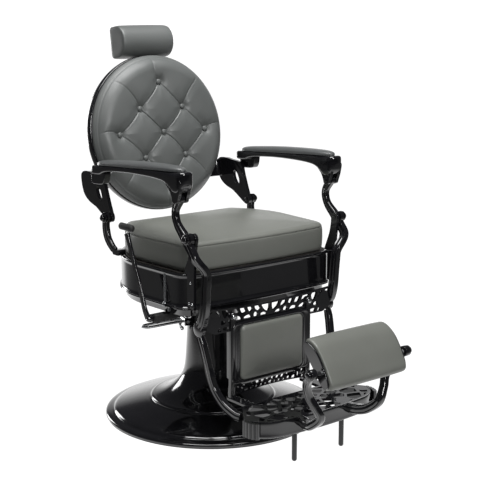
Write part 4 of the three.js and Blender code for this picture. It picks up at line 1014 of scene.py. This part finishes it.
fit(flip_pad, leather, "foot_pad", "grey_upholstery", "foot_pad_cushion")
backing_line = through([(-0.6772, 0.2752), (-0.6320, 0.3258), (-0.5902, 0.3725)], 40)
backing_rows = np.column_stack([np.zeros(40), backing_line])
backing = swept("flip_pad_backing", backing_rows, round_box(-0.0046, 0.0046, -0.1408, 0.1408, 0.0040, 6), (1, 0, 0), dome=0.0025)
fit(backing, leather, "foot_pad", "grey_upholstery", "foot_pad_backing")
cheek_outline = through([(-0.594, 0.374), (-0.604, 0.392), (-0.640, 0.376), (-0.668, 0.342), (-0.690, 0.300), (-0.684, 0.280),
                         (-0.668, 0.284), (-0.632, 0.326)], 80, closed=True)
cheek = plate("cheek", cheek_outline, 0.1413, 0.1472, 0.0014)
both_sides(cheek, "flip_pad_cheek", enamel, "foot_pad", "black_paint", "foot_pad_end_plate")
stub = rod_x("stub", 0.0060, 0.1450, 0.1820, -0.660, 0.320, 0.001, 24)
both_sides(stub, "flip_pad_stub", steel, "foot_pad", "machined_steel")

# ---- Armrests ---------------------------------------------------------------------------------
# Cast rails, arched beneath and swelling to a rounded block at each end, with lugs on the pins of
# the posts and back brackets. A thin crowned leather pad lies along each.

top_run = np.array([(-0.263, 0.8130), (-0.255, 0.8180), (-0.235, 0.8178), (-0.181, 0.8155), (-0.12, 0.8120), (0.0, 0.8045),
                    (0.12, 0.7970), (0.195, 0.7925), (0.2125, 0.7885)])
low_run = np.array([(-0.263, 0.7960), (-0.2575, 0.7780), (-0.246, 0.7610), (-0.233, 0.7565), (-0.220, 0.7590), (-0.208, 0.7680),
                    (-0.188, 0.7800), (-0.16, 0.7865), (-0.10, 0.7895), (0.0, 0.7885), (0.097, 0.7815), (0.140, 0.7740),
                    (0.160, 0.7660), (0.195, 0.7640), (0.2125, 0.7720)])
reach = np.concatenate([-0.263 + 0.020 * (1 - np.cos(np.linspace(0.12, np.pi / 2, 14))), np.linspace(-0.236, 0.190, 90),
                        0.2125 - 0.018 * (1 - np.cos(np.linspace(np.pi / 2, 0.12, 14)))])
upper = np.interp(reach, through(top_run, 400)[:, 0], through(top_run, 400)[:, 1])
under_edge = np.interp(reach, through(low_run, 400)[:, 0], through(low_run, 400)[:, 1])
start, end = np.clip((reach + 0.263) / 0.020, 0.002, 1), np.clip((0.2125 - reach) / 0.018, 0.002, 1)
half_wide = 0.0265 * np.sqrt(1 - (1 - start) ** 2) * np.sqrt(1 - (1 - end) ** 2)
around = np.linspace(0, 2 * np.pi, 48, endpoint=False)
squarish = np.stack([np.sign(np.cos(around)) * np.abs(np.cos(around)) ** 0.42, np.sign(np.sin(around)) * np.abs(np.sin(around)) ** 0.42], -1)
height = np.maximum(upper - under_edge, 0.004)
rail_rows = np.stack([
    0.280 + half_wide[:, None] * squarish[:, 0],
    np.repeat(reach[:, None], 48, 1),
    (upper + under_edge)[:, None] / 2 + height[:, None] / 2 * squarish[:, 1],
], -1)
arm_rail = shape("rail", rail_rows, skin(len(reach), 48), 50)
front_drop = through([(-0.2440, 0.742), (-0.2405, 0.733), (-0.2300, 0.7288), (-0.2195, 0.733), (-0.2155, 0.744),
                      (-0.2060, 0.762), (-0.1860, 0.784), (-0.2150, 0.796), (-0.2540, 0.796), (-0.2530, 0.768)], 60, closed=True)
front_lug_shape = joined("front_lugs", plate("inner", front_drop, 0.2620, 0.2730, 0.0020), plate("outer", front_drop, 0.2920, 0.3035, 0.0035))
rear_drop = through([(0.2110, 0.750), (0.2080, 0.7375), (0.1950, 0.7345), (0.1560, 0.7370), (0.1420, 0.7440), (0.1350, 0.7640),
                     (0.1380, 0.7820), (0.1700, 0.7860), (0.2050, 0.7840), (0.2115, 0.7680)], 60, closed=True)
rear_lug_shape = plate("rear_lug", rear_drop, 0.2772, 0.3020, 0.0035)
both_sides(arm_rail, "arm_rail", enamel, ("armrest_left_body", "armrest_right_body"), "black_paint", "armrest")
both_sides(front_lug_shape, "arm_front_lug", enamel, ("armrest_left_body", "armrest_right_body"), "black_paint")
both_sides(rear_lug_shape, "arm_rear_lug", enamel, ("armrest_left_body", "armrest_right_body"), "black_paint")

arm_leather = finish("arm_leather", (0.074, 0.078, 0.078), (0.084, 0.088, 0.088), (0.30, 0.40), patch=10, grain=620,
                     depth=0.0002, cells=True)
pad_reach = np.linspace(-0.243, 0.194, 120)
taper = np.clip((pad_reach + 0.243) / 0.055, 0, 1), np.clip((0.194 - pad_reach) / 0.050, 0, 1)
pad_half = 0.0252 * np.sqrt(1 - (1 - taper[0]) ** 2) * np.sqrt(1 - (1 - taper[1]) ** 2)
pad_half = np.maximum(pad_half, 0.0004)
bed = np.interp(pad_reach, through(top_run, 400)[:, 0], through(top_run, 400)[:, 1]) + 0.0003
swell = 0.0185 * np.sqrt(pad_half / 0.0252) * (0.62 + 0.38 * np.sin(np.linspace(0.15, np.pi - 0.15, 120)))
over = np.linspace(0, np.pi, 40)
arc_x, arc_z = -np.cos(over), np.sin(over) ** 0.55
arm_pad_rows = np.stack([
    0.280 + pad_half[:, None] * arc_x,
    np.repeat(pad_reach[:, None], 40, 1),
    bed[:, None] + 0.0002 + swell[:, None] * arc_z,
], -1)
arm_pad = shape("pad", arm_pad_rows, skin(120, 40), 60)
for piece in both_sides(arm_pad, "arm_cushion", arm_leather, ("armrest_left_body", "armrest_right_body"), "grey_upholstery", "arm_pad"):
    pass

# ---- Studio -----------------------------------------------------------------------------------
# A near-black floor that glows white round the chair and across the view and fades dark towards the camera
# (painted light: the glow hides the chair's shadows and lights it from below), a white sweep behind, a dark room on the
# camera's side, one broad light overhead and two soft boxes.

CAMERA_TURN, CAMERA_DROP = math.radians(-38.66), math.radians(11.76)
ahead = Vector((-math.sin(CAMERA_TURN) * math.cos(CAMERA_DROP), math.cos(CAMERA_TURN) * math.cos(CAMERA_DROP),
                -math.sin(CAMERA_DROP)))
floor_mesh = bpy.data.meshes.new("studio_floor")
floor_mesh.from_pydata([(-30, -30, 0), (30, -30, 0), (30, 30, 0), (-30, 30, 0)], [], [(0, 1, 2, 3)])
floor = bpy.data.objects.new("studio_floor", floor_mesh)
bpy.context.scene.collection.objects.link(floor)
# Painted light: the floor is near black and glows white by its own emission near the chair and in view, which hides the
# chair's shadows on it; the glow fades out towards the camera.
glowing_floor = finish("glowing_floor", (0.06, 0.06, 0.06), (0.07, 0.07, 0.07), (0.8, 0.9), patch=1, grain=40)
floor_mesh.materials.append(glowing_floor)
nodes, links = glowing_floor.node_tree.nodes, glowing_floor.node_tree.links
floor_shader = next(node for node in nodes if node.type == "BSDF_PRINCIPLED")
place = nodes.new("ShaderNodeTexCoord")
measured = []
for aim in ((ahead.x, ahead.y, 0.0), (-ahead.y, ahead.x, 0.0)):
    along = nodes.new("ShaderNodeVectorMath")
    along.operation = "DOT_PRODUCT"
    along.inputs[1].default_value = aim
    links.new(place.outputs["Object"], along.inputs[0])
    measured.append(along.outputs["Value"])
aside = nodes.new("ShaderNodeMath")
aside.operation = "ABSOLUTE"
links.new(measured[1], aside.inputs[0])
wedge = nodes.new("ShaderNodeMath")
wedge.operation = "MULTIPLY_ADD"
wedge.inputs[1].default_value = -0.24
links.new(measured[0], wedge.inputs[0])
links.new(aside.outputs["Value"], wedge.inputs[2])
glow = nodes.new("ShaderNodeMath")
glow.operation = "MULTIPLY"
for k, (distance, dark, pale) in enumerate(((measured[0], -1.25, -0.65), (wedge.outputs["Value"], 1.35, 0.85))):
    fade = nodes.new("ShaderNodeMapRange")
    fade.interpolation_type = "SMOOTHSTEP"
    fade.inputs["From Min"].default_value, fade.inputs["From Max"].default_value = dark, pale
    fade.inputs["To Min"].default_value, fade.inputs["To Max"].default_value = 0.06, 1.01
    links.new(distance, fade.inputs["Value"])
    links.new(fade.outputs["Result"], glow.inputs[k])
# The glow drives the floor's emission: painted light.
links.new(glow.outputs["Value"], floor_shader.inputs["Emission Strength"])
floor_shader.inputs["Emission Color"].default_value = (1, 1, 1, 1)

world = bpy.data.worlds.new("studio")
bpy.context.scene.world = world
world.use_nodes = True
nodes, links = world.node_tree.nodes, world.node_tree.links
direction = nodes.new("ShaderNodeTexCoord")
facing = nodes.new("ShaderNodeVectorMath")
facing.operation = "DOT_PRODUCT"
facing.inputs[1].default_value = tuple(ahead)
links.new(direction.outputs["Generated"], facing.inputs[0])
bands = nodes.new("ShaderNodeValToRGB")
bands.color_ramp.elements[0].position = 0.90
bands.color_ramp.elements[0].color = (0.06, 0.06, 0.066, 1)
bands.color_ramp.elements[1].position = 0.965
bands.color_ramp.elements[1].color = (1.25, 1.25, 1.25, 1)
spread = nodes.new("ShaderNodeMapRange")
spread.inputs["From Min"].default_value = -1
spread.inputs["From Max"].default_value = 1
links.new(facing.outputs["Value"], spread.inputs["Value"])
links.new(spread.outputs["Result"], bands.inputs["Fac"])
links.new(bands.outputs["Color"], nodes["Background"].inputs["Color"])
nodes["Background"].inputs["Strength"].default_value = 1.0


def soft_box(name, place, aim, wide, high, watts):
    """An area light at a place, turned to its aim."""
    light = bpy.data.lights.new(name, "AREA")
    light.shape = "RECTANGLE"
    light.size, light.size_y, light.energy = wide, high, watts
    lamp = bpy.data.objects.new(name, light)
    bpy.context.scene.collection.objects.link(lamp)
    lamp.location = place
    lamp.rotation_euler = (Vector(aim) - Vector(place)).to_track_quat("-Z", "Y").to_euler()
    return lamp


soft_box("overhead", (-0.3, -0.3, 3.2), (0, -0.1, 0.5), 1.8, 1.8, 115)
soft_box("front_box", (-0.7, -3.5, 2.0), (0, -0.2, 0.5), 0.6, 0.8, 58)
soft_box("rear_left_box", (-0.4, 3.4, 0.9), (0, -0.1, 0.3), 0.9, 1.5, 30)

camera_data = bpy.data.cameras.new("camera")
camera_data.lens, camera_data.sensor_width = 84.67, 36
camera = bpy.data.objects.new("camera", camera_data)
bpy.context.scene.collection.objects.link(camera)
camera.location = (-2.104, -2.790, 1.266)
camera.rotation_euler = (math.radians(90) - CAMERA_DROP, 0, CAMERA_TURN)
bpy.context.scene.camera = camera
bpy.context.scene.view_settings.view_transform = "Standard"
